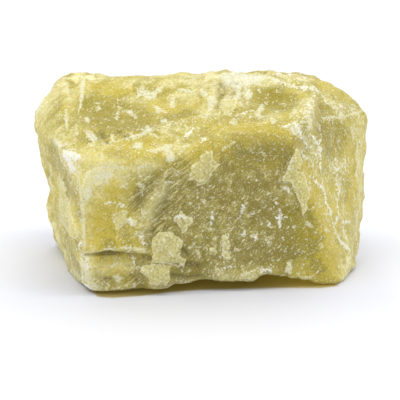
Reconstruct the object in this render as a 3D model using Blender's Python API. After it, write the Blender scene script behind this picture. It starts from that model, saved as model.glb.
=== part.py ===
"""A hand-sized chunk of raw jadeite: one natural stone, split along its fracture planes and lying on its
flattest side.

The stone is blocked out as the hull of its named corners, and its underside is cut away where it clears the
surface. Ledges, scoops, cracks and loose plates are then worked into its skin, the skin is thinned to a light
mesh, and last the foot is cut level. Sizes are millimetres until the finished mesh is scaled to metres. The
front of the stone faces -Y and its top faces +Z.
"""

import bmesh
import bpy
import numpy as np
from mathutils import Matrix, Vector, noise

METRES_PER_MM = 0.001

# Driving sizes
SKIN_GRID = 0.36
SKIN_TRIANGLES = 9600
BELOW_FOOT = 1.5
FOOT_SHAVING = 0.12

STONE_COLOR = (0.62, 0.58, 0.20, 1.0)
STONE_ROUGHNESS = 0.5

# Directions that the sides of the stone face
FRONT = (0.0, -1.0, 0.0)
BACK = (0.0, 1.0, 0.0)
LEFT = (-1.0, 0.0, 0.0)
RIGHT = (1.0, 0.0, 0.0)
TOP = (0.0, 0.0, 1.0)

CORNERS = {
    "front_left_foot": (-16.4, -14.0, -BELOW_FOOT),
    "front_left_brow": (-19.5, -12.0, 21.1),
    "front_face_left_top": (-16.6, -13.5, 20.1),
    "front_face_top": (0.0, -13.0, 22.4),
    "front_face_right_top": (13.2, -10.4, 23.3),
    "front_peak": (14.9, -9.0, 22.7),
    "front_peak_top": (14.2, -7.0, 25.8),
    "right_shoulder_front": (16.8, -5.0, 25.4),
    "right_ridge_front": (18.1, 0.0, 28.0),
    "right_ridge_mid": (15.6, 3.0, 28.4),
    "front_right_foot": (21.6, -9.7, -BELOW_FOOT),
    "front_right_edge_low": (23.7, -5.0, 3.2),
    "right_foot": (22.6, -5.4, -BELOW_FOOT),
    "right_low": (25.8, 0.0, 2.8),
    "right_back_foot": (24.4, 4.0, -BELOW_FOOT),
    "right_mid": (26.2, 3.0, 11.3),
    "right_high": (26.8, 4.0, 21.0),
    "right_shoulder": (26.6, 5.0, 23.9),
    "right_shoulder_edge": (25.5, 7.2, 25.6),
    "right_top_outer": (23.0, 9.0, 27.0),
    "right_top_back": (19.8, 11.0, 28.3),
    "top_back_right": (16.4, 12.0, 28.8),
    "top_back_mid": (6.5, 12.0, 29.0),
    "top_back_left": (-10.0, 12.8, 27.8),
    "top_left_knob": (-21.8, 12.6, 29.1),
    "left_knob_edge": (-23.2, 11.8, 28.3),
    "left_high": (-24.5, 10.0, 26.3),
    "left_shoulder": (-25.7, 7.0, 24.2),
    "left_nose": (-26.4, 4.5, 22.0),
    "left_mid": (-24.5, 8.0, 9.4),
    "left_foot": (-23.5, 8.5, -BELOW_FOOT),
    "left_side_foot": (-20.5, -5.0, -BELOW_FOOT),
    "back_left_foot": (-17.5, 12.0, -BELOW_FOOT),
    "back_left_waist": (-19.0, 14.0, 14.0),
    "back_middle_waist": (3.0, 14.2, 9.0),
    "back_middle_foot": (4.0, 11.6, -BELOW_FOOT),
    "back_right_foot": (19.0, 8.0, -BELOW_FOOT),
    "back_right_waist": (20.5, 11.6, 17.0),
}

# The height of the stone's front rim above the surface, along X, and how far back the hollow under it runs
FRONT_RIM = [
    (-18.0, 0.6), (-15.6, 0.4), (-11.5, 0.5), (-8.7, 0.7), (-6.4, 1.4), (-4.0, 1.5), (-1.6, 1.1), (1.0, 1.2),
    (3.1, 1.5), (5.5, 1.5), (7.9, 2.1), (10.3, 3.1), (12.2, 1.3), (15.0, 1.0), (17.4, 0.5), (19.0, 0.0),
]
FRONT_HOLLOW_DEPTH = 6.0
CUTTER_CELLS = 64
CUTTER_REACH = 32.0

# Raised plates of skin on the front: how far each stands out, and its outline in (x, z)
FRONT_PLATES = {
    "square_plate": (0.7, [(-7.2, 8.6), (-6.4, 10.1), (-4.7, 9.8), (-2.7, 8.3), (-2.9, 5.5), (-7.1, 5.0)]),
    "foot_plate": (0.55, [(-8.8, 4.4), (-5.1, 4.6), (-2.4, 4.9), (-4.4, 3.2), (-4.6, 0.6), (-7.6, 0.8),
                          (-7.8, 2.9)]),
    "star_plate": (0.45, [(-1.9, 19.4), (0.4, 21.9), (1.9, 21.8), (3.0, 19.8), (0.9, 18.2), (-0.4, 17.0)]),
    "corner_chip": (0.5, [(14.3, 22.2), (15.0, 19.9), (16.6, 14.9), (15.1, 11.7), (12.4, 16.8),
                          (13.4, 20.1)]),
    "rim_plate": (0.5, [(1.9, 4.9), (3.6, 5.2), (5.3, 3.7), (9.4, 3.6), (11.4, 4.1), (11.9, 0.5),
                        (1.6, 0.5)]),
    "lower_right_facet": (0.3, [(16.4, 15.5), (18.2, 15.0), (20.3, 8.2), (23.6, 3.5), (23.0, -2.0),
                                (17.2, -2.0)]),
}

# How wide the edge of a plate and the riser of a step are
PLATE_BEVEL = 0.7
RISER_WIDTH = 0.7

# Steps, high on the left of their path as seen from the side that they are on:
# the side, the height, how far back the high side takes to come level, and the path
STEPS = {
    "front_lip": (TOP, 1.1, 5.0, [(3.0, -2.4), (0.8, -4.7), (-1.5, -5.4), (-6.0, -6.7), (-8.2, -7.0),
                                  (-12.5, -8.9), (-14.7, -9.7), (-19.5, -11.4)]),
    "slab_lip": (TOP, 0.7, 3.0, [(1.8, -3.4), (2.3, -1.6), (2.9, 1.8), (2.7, 4.8), (2.3, 7.4), (2.2, 12.0)]),
    "pale_block": (TOP, 0.7, 2.4, [(6.6, -5.0), (6.4, -2.2), (6.0, 0.2), (3.6, 1.4), (3.2, -1.0)]),
    "crumbled_step": (TOP, 0.7, 3.0, [(12.0, 9.6), (8.0, 6.0), (5.0, 5.2), (4.2, 7.6), (4.6, 12.0)]),
    "cracked_ledge": (FRONT, 0.8, 3.0, [(-18.2, 6.8), (-14.8, 7.1), (-11.8, 7.1), (-9.6, 6.7), (-7.2, 6.0)]),
    "left_flake": (LEFT, 0.8, 4.0, [(5.8, 17.6), (8.4, 15.0), (10.6, 12.2), (12.4, 9.6), (11.2, 7.6),
                                    (4.0, 7.0)]),
    "left_sliver": (LEFT, 0.6, 3.0, [(-3.4, 21.0), (-2.0, 15.0), (-3.2, 9.0), (-2.4, 2.0)]),
    "right_rib": (FRONT, 0.35, 1.6, [(15.2, 21.0), (16.5, 17.4), (18.1, 14.8), (20.0, 9.8), (22.0, 5.6),
                                     (24.0, 3.0)]),
    "shoulder_line": (RIGHT, 0.5, 3.0, [(9.0, 24.0), (3.0, 23.4), (-3.0, 23.6), (-7.0, 23.0)]),
    "right_scar": (RIGHT, 0.6, 3.0, [(6.0, 4.0), (4.6, 9.0), (5.4, 13.0), (3.6, 18.0)]),
    "back_ledge": (BACK, 1.0, 5.0, [(14.0, 15.0), (8.0, 17.4), (2.0, 16.0), (-4.0, 19.4), (-12.0, 18.2)]),
    "back_scar": (BACK, 0.8, 4.0, [(-14.0, 4.0), (-10.4, 8.0), (-4.0, 8.6), (2.0, 6.0), (5.0, 2.0)]),
}

# Ridges and, with a negative height, grooves: the side, the height, the half-width and the path
RIDGES = {
    "slanting_ridge": (FRONT, 0.7, 1.0, [(-4.7, 17.6), (-6.5, 16.0), (-7.6, 14.2), (-8.6, 11.9),
                                         (-9.2, 9.6)]),
    "slanting_groove": (FRONT, -0.5, 0.7, [(-5.6, 17.6), (-7.8, 16.4), (-9.4, 13.6)]),
    "slanting_foot": (FRONT, -0.7, 1.1, [(-4.6, 15.6), (-6.1, 12.6), (-7.3, 8.6)]),
    "rim_ridge": (FRONT, 0.45, 0.8, [(3.7, 10.2), (4.3, 7.3), (3.3, 4.4)]),
    "crack": (FRONT, -0.9, 0.35, [(-17.6, 6.6), (-14.8, 6.8), (-11.8, 6.8), (-9.6, 6.3), (-7.4, 5.8)]),
    "left_edge": (FRONT, 0.5, 0.9, [(-18.3, 17.6), (-17.4, 15.0), (-17.5, 8.0), (-17.6, 1.6)]),
    "back_ridge": (TOP, 0.9, 0.9, [(9.4, 11.0), (12.0, 7.8), (13.8, 5.4), (16.2, 3.2), (18.6, 0.4)]),
    "shoulder_ridge": (TOP, 0.5, 0.8, [(18.4, 0.6), (17.2, -2.8), (16.6, -5.0), (15.2, -7.6), (14.8, -9.4)]),
    "slab_crack": (TOP, -0.9, 0.6, [(3.3, 5.6), (3.5, 1.8), (2.9, -1.4), (2.0, -3.4)]),
    "flute_a": (TOP, 0.5, 0.7, [(-18.6, 11.0), (-18.9, 5.0), (-18.4, 0.0)]),
    "flute_b": (TOP, 0.4, 0.6, [(-21.4, 10.0), (-21.6, 5.0), (-20.8, 1.0)]),
    "flute_c": (TOP, -0.4, 0.6, [(-20.1, 11.0), (-20.3, 5.0), (-19.6, 0.0)]),
    "left_groove": (LEFT, -0.9, 1.6, [(1.0, 20.6), (6.4, 19.0), (10.4, 15.4), (11.4, 10.0)]),
    "shoulder_groove": (TOP, -0.6, 1.2, [(20.0, 9.0), (18.6, 3.4), (18.2, -3.0)]),
}

# Scoops and, with a negative depth, swellings: the depth, the centre, and the half-sizes along X, Y and Z
SCOOPS = {
    "front_hollow": (0.9, (6.0, -12.0, 18.0), (8.0, 4.0, 4.4)),
    "front_waist": (0.7, (5.0, -12.0, 11.0), (12.0, 5.0, 8.0)),
    "shoulder_scoop": (1.3, (10.6, -1.0, 27.3), (5.6, 6.6, 3.5)),
    "slab_dish": (1.0, (-9.0, 1.0, 26.0), (13.0, 9.0, 5.0)),
    "slab_back_dip": (1.1, (-13.6, 12.5, 28.0), (9.0, 6.0, 4.0)),
    "left_hollow": (0.9, (-22.0, -3.0, 14.0), (4.0, 6.5, 7.0)),
    "left_foot_scoop": (0.5, (-20.0, -5.5, 4.0), (3.0, 6.0, 3.6)),
    "left_nose_hollow": (0.7, (-26.2, 5.0, 17.4), (4.0, 6.0, 4.6)),
    "brow_swell": (-0.5, (2.0, -11.5, 23.0), (9.0, 3.0, 2.6)),
    "left_brow_swell": (-0.4, (-11.0, -12.5, 21.0), (7.0, 3.0, 2.4)),
    "back_scoop": (1.3, (8.0, 13.5, 19.0), (9.0, 4.0, 6.0)),
    "back_low_scoop": (1.1, (-9.0, 13.5, 6.0), (7.0, 4.0, 5.0)),
    "right_scoop": (0.7, (26.0, 3.0, 14.0), (3.0, 4.5, 5.0)),
}

# Scars of small flakes all over the stone, the slow swell under them, and the wear along its edges
SCAR_SIZE = 8.0
SCAR_STEP = 0.5
SCAR_LEVELS = 2.4
SCAR_RISER = 0.25
SCAR_BEND = 0.18
SCARS_KEPT_ON_FRONT = 0.1
SCARS_KEPT_ON_TOP = 0.3
SWELL_SIZE = 7.0
SWELL_HEIGHT = 0.4
RIPPLE_SIZE = 2.2
RIPPLE_HEIGHT = 0.12
WEAR_SIZE = 4.5
WEAR_PASSES = 10
WEAR_SHARE = 0.45
WEAR_SPREAD = 1.4

# The part of a path, at each end, over which a step or a ridge fades out
FADE = 0.18

# The skin starts to be worked this far above the surface, and is worked in full this much higher
GROUND = 0.3
GROUND_BLEND = 0.8


def clear_scene():
    for obj in list(bpy.data.objects):
        bpy.data.objects.remove(obj, do_unlink=True)


def new_object(name, shape):
    mesh = bpy.data.meshes.new(name)
    shape.to_mesh(mesh)
    shape.free()
    obj = bpy.data.objects.new(name, mesh)
    bpy.context.scene.collection.objects.link(obj)
    return obj


def apply_modifiers(obj):
    bpy.context.view_layer.update()
    graph = bpy.context.evaluated_depsgraph_get()
    worked = bpy.data.meshes.new_from_object(obj.evaluated_get(graph))
    obj.modifiers.clear()
    obj.data = worked


def hull_of(corners):
    shape = bmesh.new()
    for corner in corners:
        shape.verts.new(Vector(corner))
    made = bmesh.ops.convex_hull(shape, input=shape.verts)
    spare = [item for item in made["geom_interior"] if isinstance(item, bmesh.types.BMVert)]
    bmesh.ops.delete(shape, geom=spare, context="VERTS")
    bmesh.ops.recalc_face_normals(shape, faces=shape.faces)
    return shape


def underside_height(x, y):
    """How far the underside is above the surface: nothing over the foot, and rising towards the front rim."""
    rim = np.interp(x, [spot[0] for spot in FRONT_RIM], [spot[1] for spot in FRONT_RIM])
    left = CORNERS["front_left_foot"]
    right = CORNERS["front_right_foot"]
    front_edge = np.interp(x, [left[0], right[0]], [left[1], right[1]])
    forward = np.clip((front_edge + FRONT_HOLLOW_DEPTH - y) / FRONT_HOLLOW_DEPTH, 0.0, 1.0)
    return rim * np.sqrt(forward)


def underside_cutter():
    """A block that reaches up to the underside: a fine sheet, bent to its height, and a flat one below it."""
    shape = bmesh.new()
    bmesh.ops.create_grid(shape, x_segments=CUTTER_CELLS, y_segments=CUTTER_CELLS, size=CUTTER_REACH)
    low = bmesh.ops.extrude_face_region(shape, geom=shape.faces[:])["geom"]
    low = [item for item in low if isinstance(item, bmesh.types.BMVert)]
    for vert in shape.verts:
        vert.co.z = underside_height(vert.co.x, vert.co.y)
    for vert in low:
        vert.co.z = -2.0 * BELOW_FOOT
    bmesh.ops.recalc_face_normals(shape, faces=shape.faces)
    return shape


def ease(t):
    t = np.clip(t, 0.0, 1.0)
    return t * t * (3.0 - 2.0 * t)


def on_side(points, side):
    """The two coordinates seen on that side of the stone, the first one running to the viewer's right."""
    across, up = {
        FRONT: ((1, 0, 0), (0, 0, 1)),
        BACK: ((-1, 0, 0), (0, 0, 1)),
        LEFT: ((0, -1, 0), (0, 0, 1)),
        RIGHT: ((0, 1, 0), (0, 0, 1)),
        TOP: ((1, 0, 0), (0, 1, 0)),
    }[side]
    return np.stack([points @ np.array(across, float), points @ np.array(up, float)], axis=1)


def path_distance(flat, path):
    """The distance to the path, the side of it (1 on the left), and how far along it that is, from 0 to 1."""
    best = np.full(len(flat), 1e9)
    side = np.ones(len(flat))
    along = np.zeros(len(flat))
    corners = np.array(path, float)
    lengths = np.linalg.norm(np.diff(corners, axis=0), axis=1)
    before = 0.0
    for start, end, length in zip(corners[:-1], corners[1:], lengths):
        run = (end - start) / length
        t = np.clip((flat - start) @ run, 0.0, length)
        gap = flat - (start + t[:, None] * run)
        distance = np.linalg.norm(gap, axis=1)
        nearer = distance < best
        best = np.where(nearer, distance, best)
        left = np.sign(run[0] * gap[:, 1] - run[1] * gap[:, 0])
        side = np.where(nearer & (left != 0), left, side)
        along = np.where(nearer, before + t, along)
        before += length
    return best, side, along / before


def outline_distance(flat, outline):
    """Distance inside an outline, negative outside it."""
    ring = list(outline) + [outline[0]]
    distance, _, _ = path_distance(flat, ring)
    inside = np.zeros(len(flat), bool)
    for (x0, y0), (x1, y1) in zip(ring[:-1], ring[1:]):
        spans = (y0 > flat[:, 1]) != (y1 > flat[:, 1])
        crossing = x0 + (flat[:, 1] - y0) * (x1 - x0) / (y1 - y0 if y1 != y0 else 1e-9)
        inside ^= spans & (flat[:, 0] < crossing)
    return np.where(inside, distance, -distance)


def facing(normals, side):
    """How far a point of the skin belongs to that side, from 0 to 1."""
    return ease((normals @ np.array(side) - 0.25) / 0.2)


def scars(point):
    """Flat scars left by flakes: a slow swell broken into levels, with a short riser between them."""
    spot = Vector(point) / SCAR_SIZE + SCAR_BEND * noise.noise_vector(Vector(point) / RIPPLE_SIZE)
    level = SCAR_LEVELS * noise.noise(spot)
    step = np.floor(level)
    return SCAR_STEP * (step + ease((level - step - 1.0 + SCAR_RISER) / SCAR_RISER))


def fading(along):
    return ease(along / FADE) * ease((1.0 - along) / FADE)


def relief(points, normals):
    """How far each point of the skin moves out, in millimetres."""
    out = np.zeros(len(points))
    on_front = 1.0 - (1.0 - SCARS_KEPT_ON_FRONT) * facing(normals, FRONT)
    on_top = 1.0 - (1.0 - SCARS_KEPT_ON_TOP) * facing(normals, TOP)
    scarred = on_front * on_top
    for index, point in enumerate(points):
        spot = Vector(point)
        out[index] += SWELL_HEIGHT * noise.noise(spot / SWELL_SIZE)
        out[index] += RIPPLE_HEIGHT * noise.noise(spot / RIPPLE_SIZE)
        out[index] += scarred[index] * scars(point)
    for height, outline in FRONT_PLATES.values():
        inward = outline_distance(on_side(points, FRONT), outline)
        out += height * ease(inward / PLATE_BEVEL + 0.5) * facing(normals, FRONT)
    for side, height, reach, path in STEPS.values():
        distance, left, along = path_distance(on_side(points, side), path)
        inward = left * distance
        high = ease(inward / RISER_WIDTH + 0.5) * (1.0 - ease(inward / reach))
        out += height * high * fading(along) * facing(normals, side)
    for side, height, width, path in RIDGES.values():
        distance, _, along = path_distance(on_side(points, side), path)
        out += height * ease(1.0 - distance / (1.6 * width)) * fading(along) * facing(normals, side)
    for depth, centre, sizes in SCOOPS.values():
        away = np.linalg.norm((points - np.array(centre)) / np.array(sizes), axis=1)
        out -= depth * ease(1.0 - away)
    return out


def edge_wear(mesh, points, normals):
    """How far the edges have broken back: where the skin stands proud of its own smoothed copy."""
    ends = np.empty(len(mesh.edges) * 2, np.int32)
    mesh.edges.foreach_get("vertices", ends)
    first, second = ends.reshape(-1, 2).T
    links = np.bincount(ends, minlength=len(points))[:, None]
    smooth = points.copy()
    for _ in range(WEAR_PASSES):
        total = np.zeros_like(smooth)
        np.add.at(total, first, smooth[second])
        np.add.at(total, second, smooth[first])
        smooth = total / links
    proud = np.clip(np.einsum("ij,ij->i", points - smooth, normals), 0.0, None)
    broken = np.array([noise.noise(Vector(point) / WEAR_SIZE) for point in points])
    return proud * np.clip(WEAR_SHARE + WEAR_SPREAD * broken, 0.0, 1.0)


def work_the_skin(stone):
    mesh = stone.data
    count = len(mesh.vertices)
    points = np.empty(count * 3, np.float32)
    mesh.vertices.foreach_get("co", points)
    points = points.reshape(-1, 3).astype(float)
    normals = np.empty(count * 3, np.float32)
    mesh.vertices.foreach_get("normal", normals)
    normals = normals.reshape(-1, 3).astype(float)
    grounded = ease((points[:, 2] - GROUND) / GROUND_BLEND)
    moved = (relief(points, normals) - edge_wear(mesh, points, normals)) * grounded
    points += normals * moved[:, None]
    mesh.vertices.foreach_set("co", points.astype(np.float32).ravel())
    mesh.update()


def cut_level(stone):
    """Shaves the foot flat, stands it on Z = 0, centres it on its box, and turns millimetres into metres."""
    shape = bmesh.new()
    shape.from_mesh(stone.data)
    everything = shape.verts[:] + shape.edges[:] + shape.faces[:]
    cut = bmesh.ops.bisect_plane(
        shape, geom=everything, plane_co=(0, 0, FOOT_SHAVING), plane_no=(0, 0, 1), clear_inner=True
    )["geom_cut"]
    edges = [item for item in cut if isinstance(item, bmesh.types.BMEdge)]
    bmesh.ops.holes_fill(shape, edges=edges)
    bmesh.ops.recalc_face_normals(shape, faces=shape.faces)
    spread = np.array([vert.co for vert in shape.verts])
    middle = (spread.min(axis=0) + spread.max(axis=0)) / 2
    place = Matrix.Scale(METRES_PER_MM, 4) @ Matrix.Translation((-middle[0], -middle[1], -FOOT_SHAVING))
    bmesh.ops.transform(shape, matrix=place, verts=shape.verts)
    shape.to_mesh(stone.data)
    shape.free()


def jadeite_material():
    material = bpy.data.materials.new("raw_jadeite")
    material.use_nodes = True
    finish = material.node_tree.nodes["Principled BSDF"]
    finish.inputs["Base Color"].default_value = STONE_COLOR
    finish.inputs["Roughness"].default_value = STONE_ROUGHNESS
    finish.inputs["Metallic"].default_value = 0.0
    return material


def main():
    clear_scene()
    stone = new_object("jadeite_stone", hull_of(CORNERS.values()))
    cutter = new_object("underside_cutter", underside_cutter())
    cutter.hide_render = True
    cutter.display_type = "WIRE"
    cut = stone.modifiers.new("clear_the_rim", "BOOLEAN")
    cut.operation = "DIFFERENCE"
    cut.object = cutter
    skin = stone.modifiers.new("skin", "REMESH")
    skin.mode = "VOXEL"
    skin.voxel_size = SKIN_GRID
    apply_modifiers(stone)
    bpy.data.objects.remove(cutter)
    work_the_skin(stone)
    thin = stone.modifiers.new("thin", "DECIMATE")
    triangles = sum(len(face.vertices) - 2 for face in stone.data.polygons)
    thin.ratio = SKIN_TRIANGLES / triangles
    apply_modifiers(stone)
    cut_level(stone)
    stone.data.materials.append(jadeite_material())
    stone.data.shade_smooth()
    stone.data.set_sharp_from_angle(angle=0.6)


main()
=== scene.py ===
# %% [markdown]
# # A raw jadeite stone
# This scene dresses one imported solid, `jadeite_stone`: a chunk of rough jadeite about 5 cm long, split along
# its fracture planes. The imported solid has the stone's true size and main shapes, but only about ten thousand
# triangles. Here it gets the skin of the real stone: a fine mesh with flakes and cracks, and a waxy, slightly
# translucent material with bruises, frosted edges and pale flecks.

# %% Load the frame
import math

import bmesh
import bpy
import numpy as np
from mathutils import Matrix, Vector, bvhtree, noise


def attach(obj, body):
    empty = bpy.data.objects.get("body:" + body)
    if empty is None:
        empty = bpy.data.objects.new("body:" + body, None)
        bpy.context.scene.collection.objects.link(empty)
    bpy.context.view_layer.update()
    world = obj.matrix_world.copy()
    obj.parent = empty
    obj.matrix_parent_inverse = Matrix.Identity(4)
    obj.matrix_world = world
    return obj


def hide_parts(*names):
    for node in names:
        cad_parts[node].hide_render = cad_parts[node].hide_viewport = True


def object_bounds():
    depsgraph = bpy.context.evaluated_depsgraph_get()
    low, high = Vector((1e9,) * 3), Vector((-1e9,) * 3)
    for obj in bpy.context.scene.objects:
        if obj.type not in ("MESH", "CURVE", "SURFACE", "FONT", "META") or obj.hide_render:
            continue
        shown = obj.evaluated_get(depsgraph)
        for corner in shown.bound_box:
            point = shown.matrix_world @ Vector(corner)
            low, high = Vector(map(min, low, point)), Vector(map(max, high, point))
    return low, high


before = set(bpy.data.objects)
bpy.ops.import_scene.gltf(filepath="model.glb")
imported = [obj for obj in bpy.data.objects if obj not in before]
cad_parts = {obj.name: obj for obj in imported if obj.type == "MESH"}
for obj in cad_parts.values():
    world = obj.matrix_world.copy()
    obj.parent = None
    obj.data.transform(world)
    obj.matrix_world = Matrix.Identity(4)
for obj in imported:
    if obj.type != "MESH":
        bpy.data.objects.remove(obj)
CAD_BOX = [list(map(float, corner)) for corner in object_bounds()]
MM = 0.001
print("CAD box in mm", [[round(v / MM, 2) for v in corner] for corner in CAD_BOX])

# %% [markdown]
# ## The camera
# The photograph looks slightly down at the stone's broad front face from close by. A 100 mm lens on a 36 mm
# sensor gives that mild perspective. The camera is made first, because the marks on the stone are later
# placed by looking through it.

# %% Camera
LENS = 100.0
SENSOR = 36.0
FRAME_PIXELS = 400
CLIP_START = 0.01
CAMERA_TARGET = Vector((-0.043, -10.733, 13.88)) * MM
CAMERA_DISTANCE = 165.0 * MM
CAMERA_ELEVATION = math.radians(18.0)

camera = bpy.data.objects.new("camera", bpy.data.cameras.new("camera"))
bpy.context.scene.collection.objects.link(camera)
bpy.context.scene.camera = camera
camera.data.lens = LENS
camera.data.sensor_width = SENSOR
camera.data.clip_start = CLIP_START
towards_camera = Vector((0.0, -math.cos(CAMERA_ELEVATION), math.sin(CAMERA_ELEVATION)))
camera.location = CAMERA_TARGET + CAMERA_DISTANCE * towards_camera
camera.rotation_euler = (math.pi / 2 - CAMERA_ELEVATION, 0.0, 0.0)
print("camera at", [round(v, 4) for v in camera.location])

# %% [markdown]
# ## The studio
# The picture is a bright product shot on white paper. A narrow strip of light overhead brings out the relief,
# and broad panels at both sides and behind make the top glow and the ends pale. The front face is lit too,
# yet the paper stays evenly white and the slit under the front rim stays dark. Light linking does that: three
# panels light the stone alone, and one lights the paper alone and lets no stone shade it.

# %% Panels of light
PANELS = {
    "key_panel": ((1.2, 0.12), 3.1, Vector((0.0, -0.06, 0.9))),
    "left_panel": ((1.0, 1.0), 1.1, Vector((-0.65, 0.05, 0.6))),
    "right_panel": ((1.0, 1.0), 1.1, Vector((0.65, 0.05, 0.6))),
    "back_panel": ((0.8, 0.8), 2.0, Vector((0.0, 0.5, 0.7))),
}
FILLS = {
    "front_fill": ((0.5, 0.5), 1.9, Vector((0.0, -0.65, 0.4))),
    "left_fill": ((0.5, 0.5), 1.9, Vector((-0.7, -0.15, 0.3))),
    "right_fill": ((0.5, 0.5), 1.5, Vector((0.7, -0.15, 0.3))),
}
PAPER_FILLS = {
    "paper_fill": ((2.0, 2.0), 4.2, Vector((0.0, 0.0, 1.2))),
}
stone_only = bpy.data.collections.new("stone_only")
paper_only = bpy.data.collections.new("paper_only")
for name, ((width, length), power, panel_place) in {**PANELS, **FILLS, **PAPER_FILLS}.items():
    panel = bpy.data.objects.new(name, bpy.data.lights.new(name, "AREA"))
    panel.data.shape = "RECTANGLE"
    panel.data.size = width
    panel.data.size_y = length
    panel.data.energy = power
    panel.location = panel_place
    panel.rotation_euler = panel_place.to_track_quat("Z", "Y").to_euler()
    bpy.context.scene.collection.objects.link(panel)
    if name in FILLS:
        panel.light_linking.receiver_collection = stone_only
    if name in PAPER_FILLS:
        panel.light_linking.receiver_collection = paper_only
        panel.light_linking.blocker_collection = paper_only
print("panels:", ", ".join(PANELS))
print("on the stone alone:", ", ".join(FILLS), "and on the paper alone:", ", ".join(PAPER_FILLS))

# %% [markdown]
# A sky that lit evenly from all around would fill the slit under the front rim. So it is dim near the horizon
# and brighter higher up. The camera sees it as white all the same, which is what the Light Path node is for.

# %% A sky that is dim at the horizon
SKY_LOW = 0.02
SKY_HIGH = 0.52
SKY_STARTS_AT = 0.15
SKY_FULL_AT = 0.8
SKY_SEEN = 1.0

world = bpy.data.worlds.new("studio")
bpy.context.scene.world = world
world.use_nodes = True
sky = world.node_tree
background = sky.nodes["Background"]
background.inputs["Color"].default_value = (1.0, 1.0, 1.0, 1.0)
direction = sky.nodes.new("ShaderNodeSeparateXYZ")
sky.links.new(sky.nodes.new("ShaderNodeTexCoord").outputs["Generated"], direction.inputs["Vector"])
by_height = sky.nodes.new("ShaderNodeMapRange")
by_height.inputs["From Min"].default_value = SKY_STARTS_AT
by_height.inputs["From Max"].default_value = SKY_FULL_AT
by_height.inputs["To Min"].default_value = SKY_LOW
by_height.inputs["To Max"].default_value = SKY_HIGH
sky.links.new(direction.outputs["Z"], by_height.inputs["Value"])
seen_by_camera = sky.nodes.new("ShaderNodeMapRange")
seen_by_camera.inputs["To Max"].default_value = SKY_SEEN
sky.links.new(sky.nodes.new("ShaderNodeLightPath").outputs["Is Camera Ray"], seen_by_camera.inputs["Value"])
sky.links.new(by_height.outputs["Result"], seen_by_camera.inputs["To Min"])
sky.links.new(seen_by_camera.outputs["Result"], background.inputs["Strength"])
bpy.context.scene.view_settings.view_transform = "Standard"
print("sky lights from", SKY_LOW, "at the horizon to", SKY_HIGH, "above")

# %% [markdown]
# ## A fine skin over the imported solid
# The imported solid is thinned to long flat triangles, which would show in soft light. Its copy is merged,
# remeshed to an even grid of small quads and smoothed a little, so that it can take relief of a few tenths
# of a millimetre. A voxel remesh suits a stone well: it has no seams, and its quads are of about one size.

# %% Copy, merge and remesh
SKIN_GRID = 0.3 * MM
MERGE_WITHIN = 1e-7
SMOOTHING_PASSES = 4
SMOOTHING_SHARE = 0.5


def apply_modifiers(obj):
    """The object's modifiers turned into its mesh."""
    bpy.context.view_layer.update()
    graph = bpy.context.evaluated_depsgraph_get()
    mesh = bpy.data.meshes.new_from_object(obj.evaluated_get(graph))
    obj.modifiers.clear()
    obj.data = mesh


def smooth(shape, passes):
    """Each point moved towards the middle of its neighbours, again and again."""
    for _ in range(passes):
        bmesh.ops.smooth_vert(shape, verts=shape.verts, factor=SMOOTHING_SHARE,
                              use_axis_x=True, use_axis_y=True, use_axis_z=True)


shape = bmesh.new()
shape.from_mesh(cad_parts["jadeite_stone"].data)
bmesh.ops.remove_doubles(shape, verts=shape.verts, dist=MERGE_WITHIN)
skin_mesh = bpy.data.meshes.new("stone_skin")
shape.to_mesh(skin_mesh)
shape.free()
skin = bpy.data.objects.new("stone_skin", skin_mesh)
bpy.context.scene.collection.objects.link(skin)
stone_only.objects.link(skin)
remesh = skin.modifiers.new("even_grid", "REMESH")
remesh.mode = "VOXEL"
remesh.voxel_size = SKIN_GRID
apply_modifiers(skin)

shape = bmesh.new()
shape.from_mesh(skin.data)
smooth(shape, SMOOTHING_PASSES)
shape.to_mesh(skin.data)
shape.free()
triangles = sum(len(face.vertices) - 2 for face in skin.data.polygons)
print("skin:", len(skin.data.vertices), "points,", triangles, "triangles")

# %% [markdown]
# ## Placing marks
# What gives this stone its character is where its marks are: bruised patches, frosted edges, dark cracks.
# Each is written below as a stroke, with its half-width in millimetres and the pixels of the picture that it
# passes through, or as an outline of pixels. A stroke is cast from the camera onto the skin, so it lies on
# the surface and stays there from any side. What each point of the skin keeps is a field: its depth inside
# the nearest mark in millimetres, below 0 outside, so that later noise can fray the rim.

# %% Casting a pixel onto the skin
HALF_FRAME = FRAME_PIXELS / 2
PIXELS_PER_SLOPE = FRAME_PIXELS * LENS / SENSOR
PICTURE_MIDDLE = np.array((200.0, 180.0))
SLIDES = np.linspace(0.0, 0.3, 31)


def coordinates(mesh, name):
    """The points or the normals of a mesh as an array with three columns."""
    values = np.empty(len(mesh.vertices) * 3, np.float32)
    mesh.vertices.foreach_get(name, values)
    return values.reshape(-1, 3).astype(float)


points = coordinates(skin.data, "co")
normals = coordinates(skin.data, "normal")
tree = bvhtree.BVHTree.FromPolygons(points.tolist(), [list(f.vertices) for f in skin.data.polygons])
turn = np.array(camera.rotation_euler.to_matrix())
eye = np.array(camera.location)


def cast(pixel):
    """The point of the skin seen at a pixel. A pixel just off the stone slides in until it meets it."""
    for slide in SLIDES:
        x, y = np.array(pixel) + slide * (PICTURE_MIDDLE - pixel)
        ray = turn @ ((x - HALF_FRAME) / PIXELS_PER_SLOPE, (HALF_FRAME - y) / PIXELS_PER_SLOPE, -1.0)
        hit = tree.ray_cast(Vector(eye), Vector(ray).normalized())[0]
        if hit is not None:
            return np.array(hit)
    raise ValueError(f"pixel {pixel} is nowhere near the stone")


print("the stone's middle in the picture lies at", np.round(cast(PICTURE_MIDDLE) / MM, 2), "mm")

# %% Fields of strokes
FIELD_FLOOR = -3.0
SHORTEST_RUN = 1e-12


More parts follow.
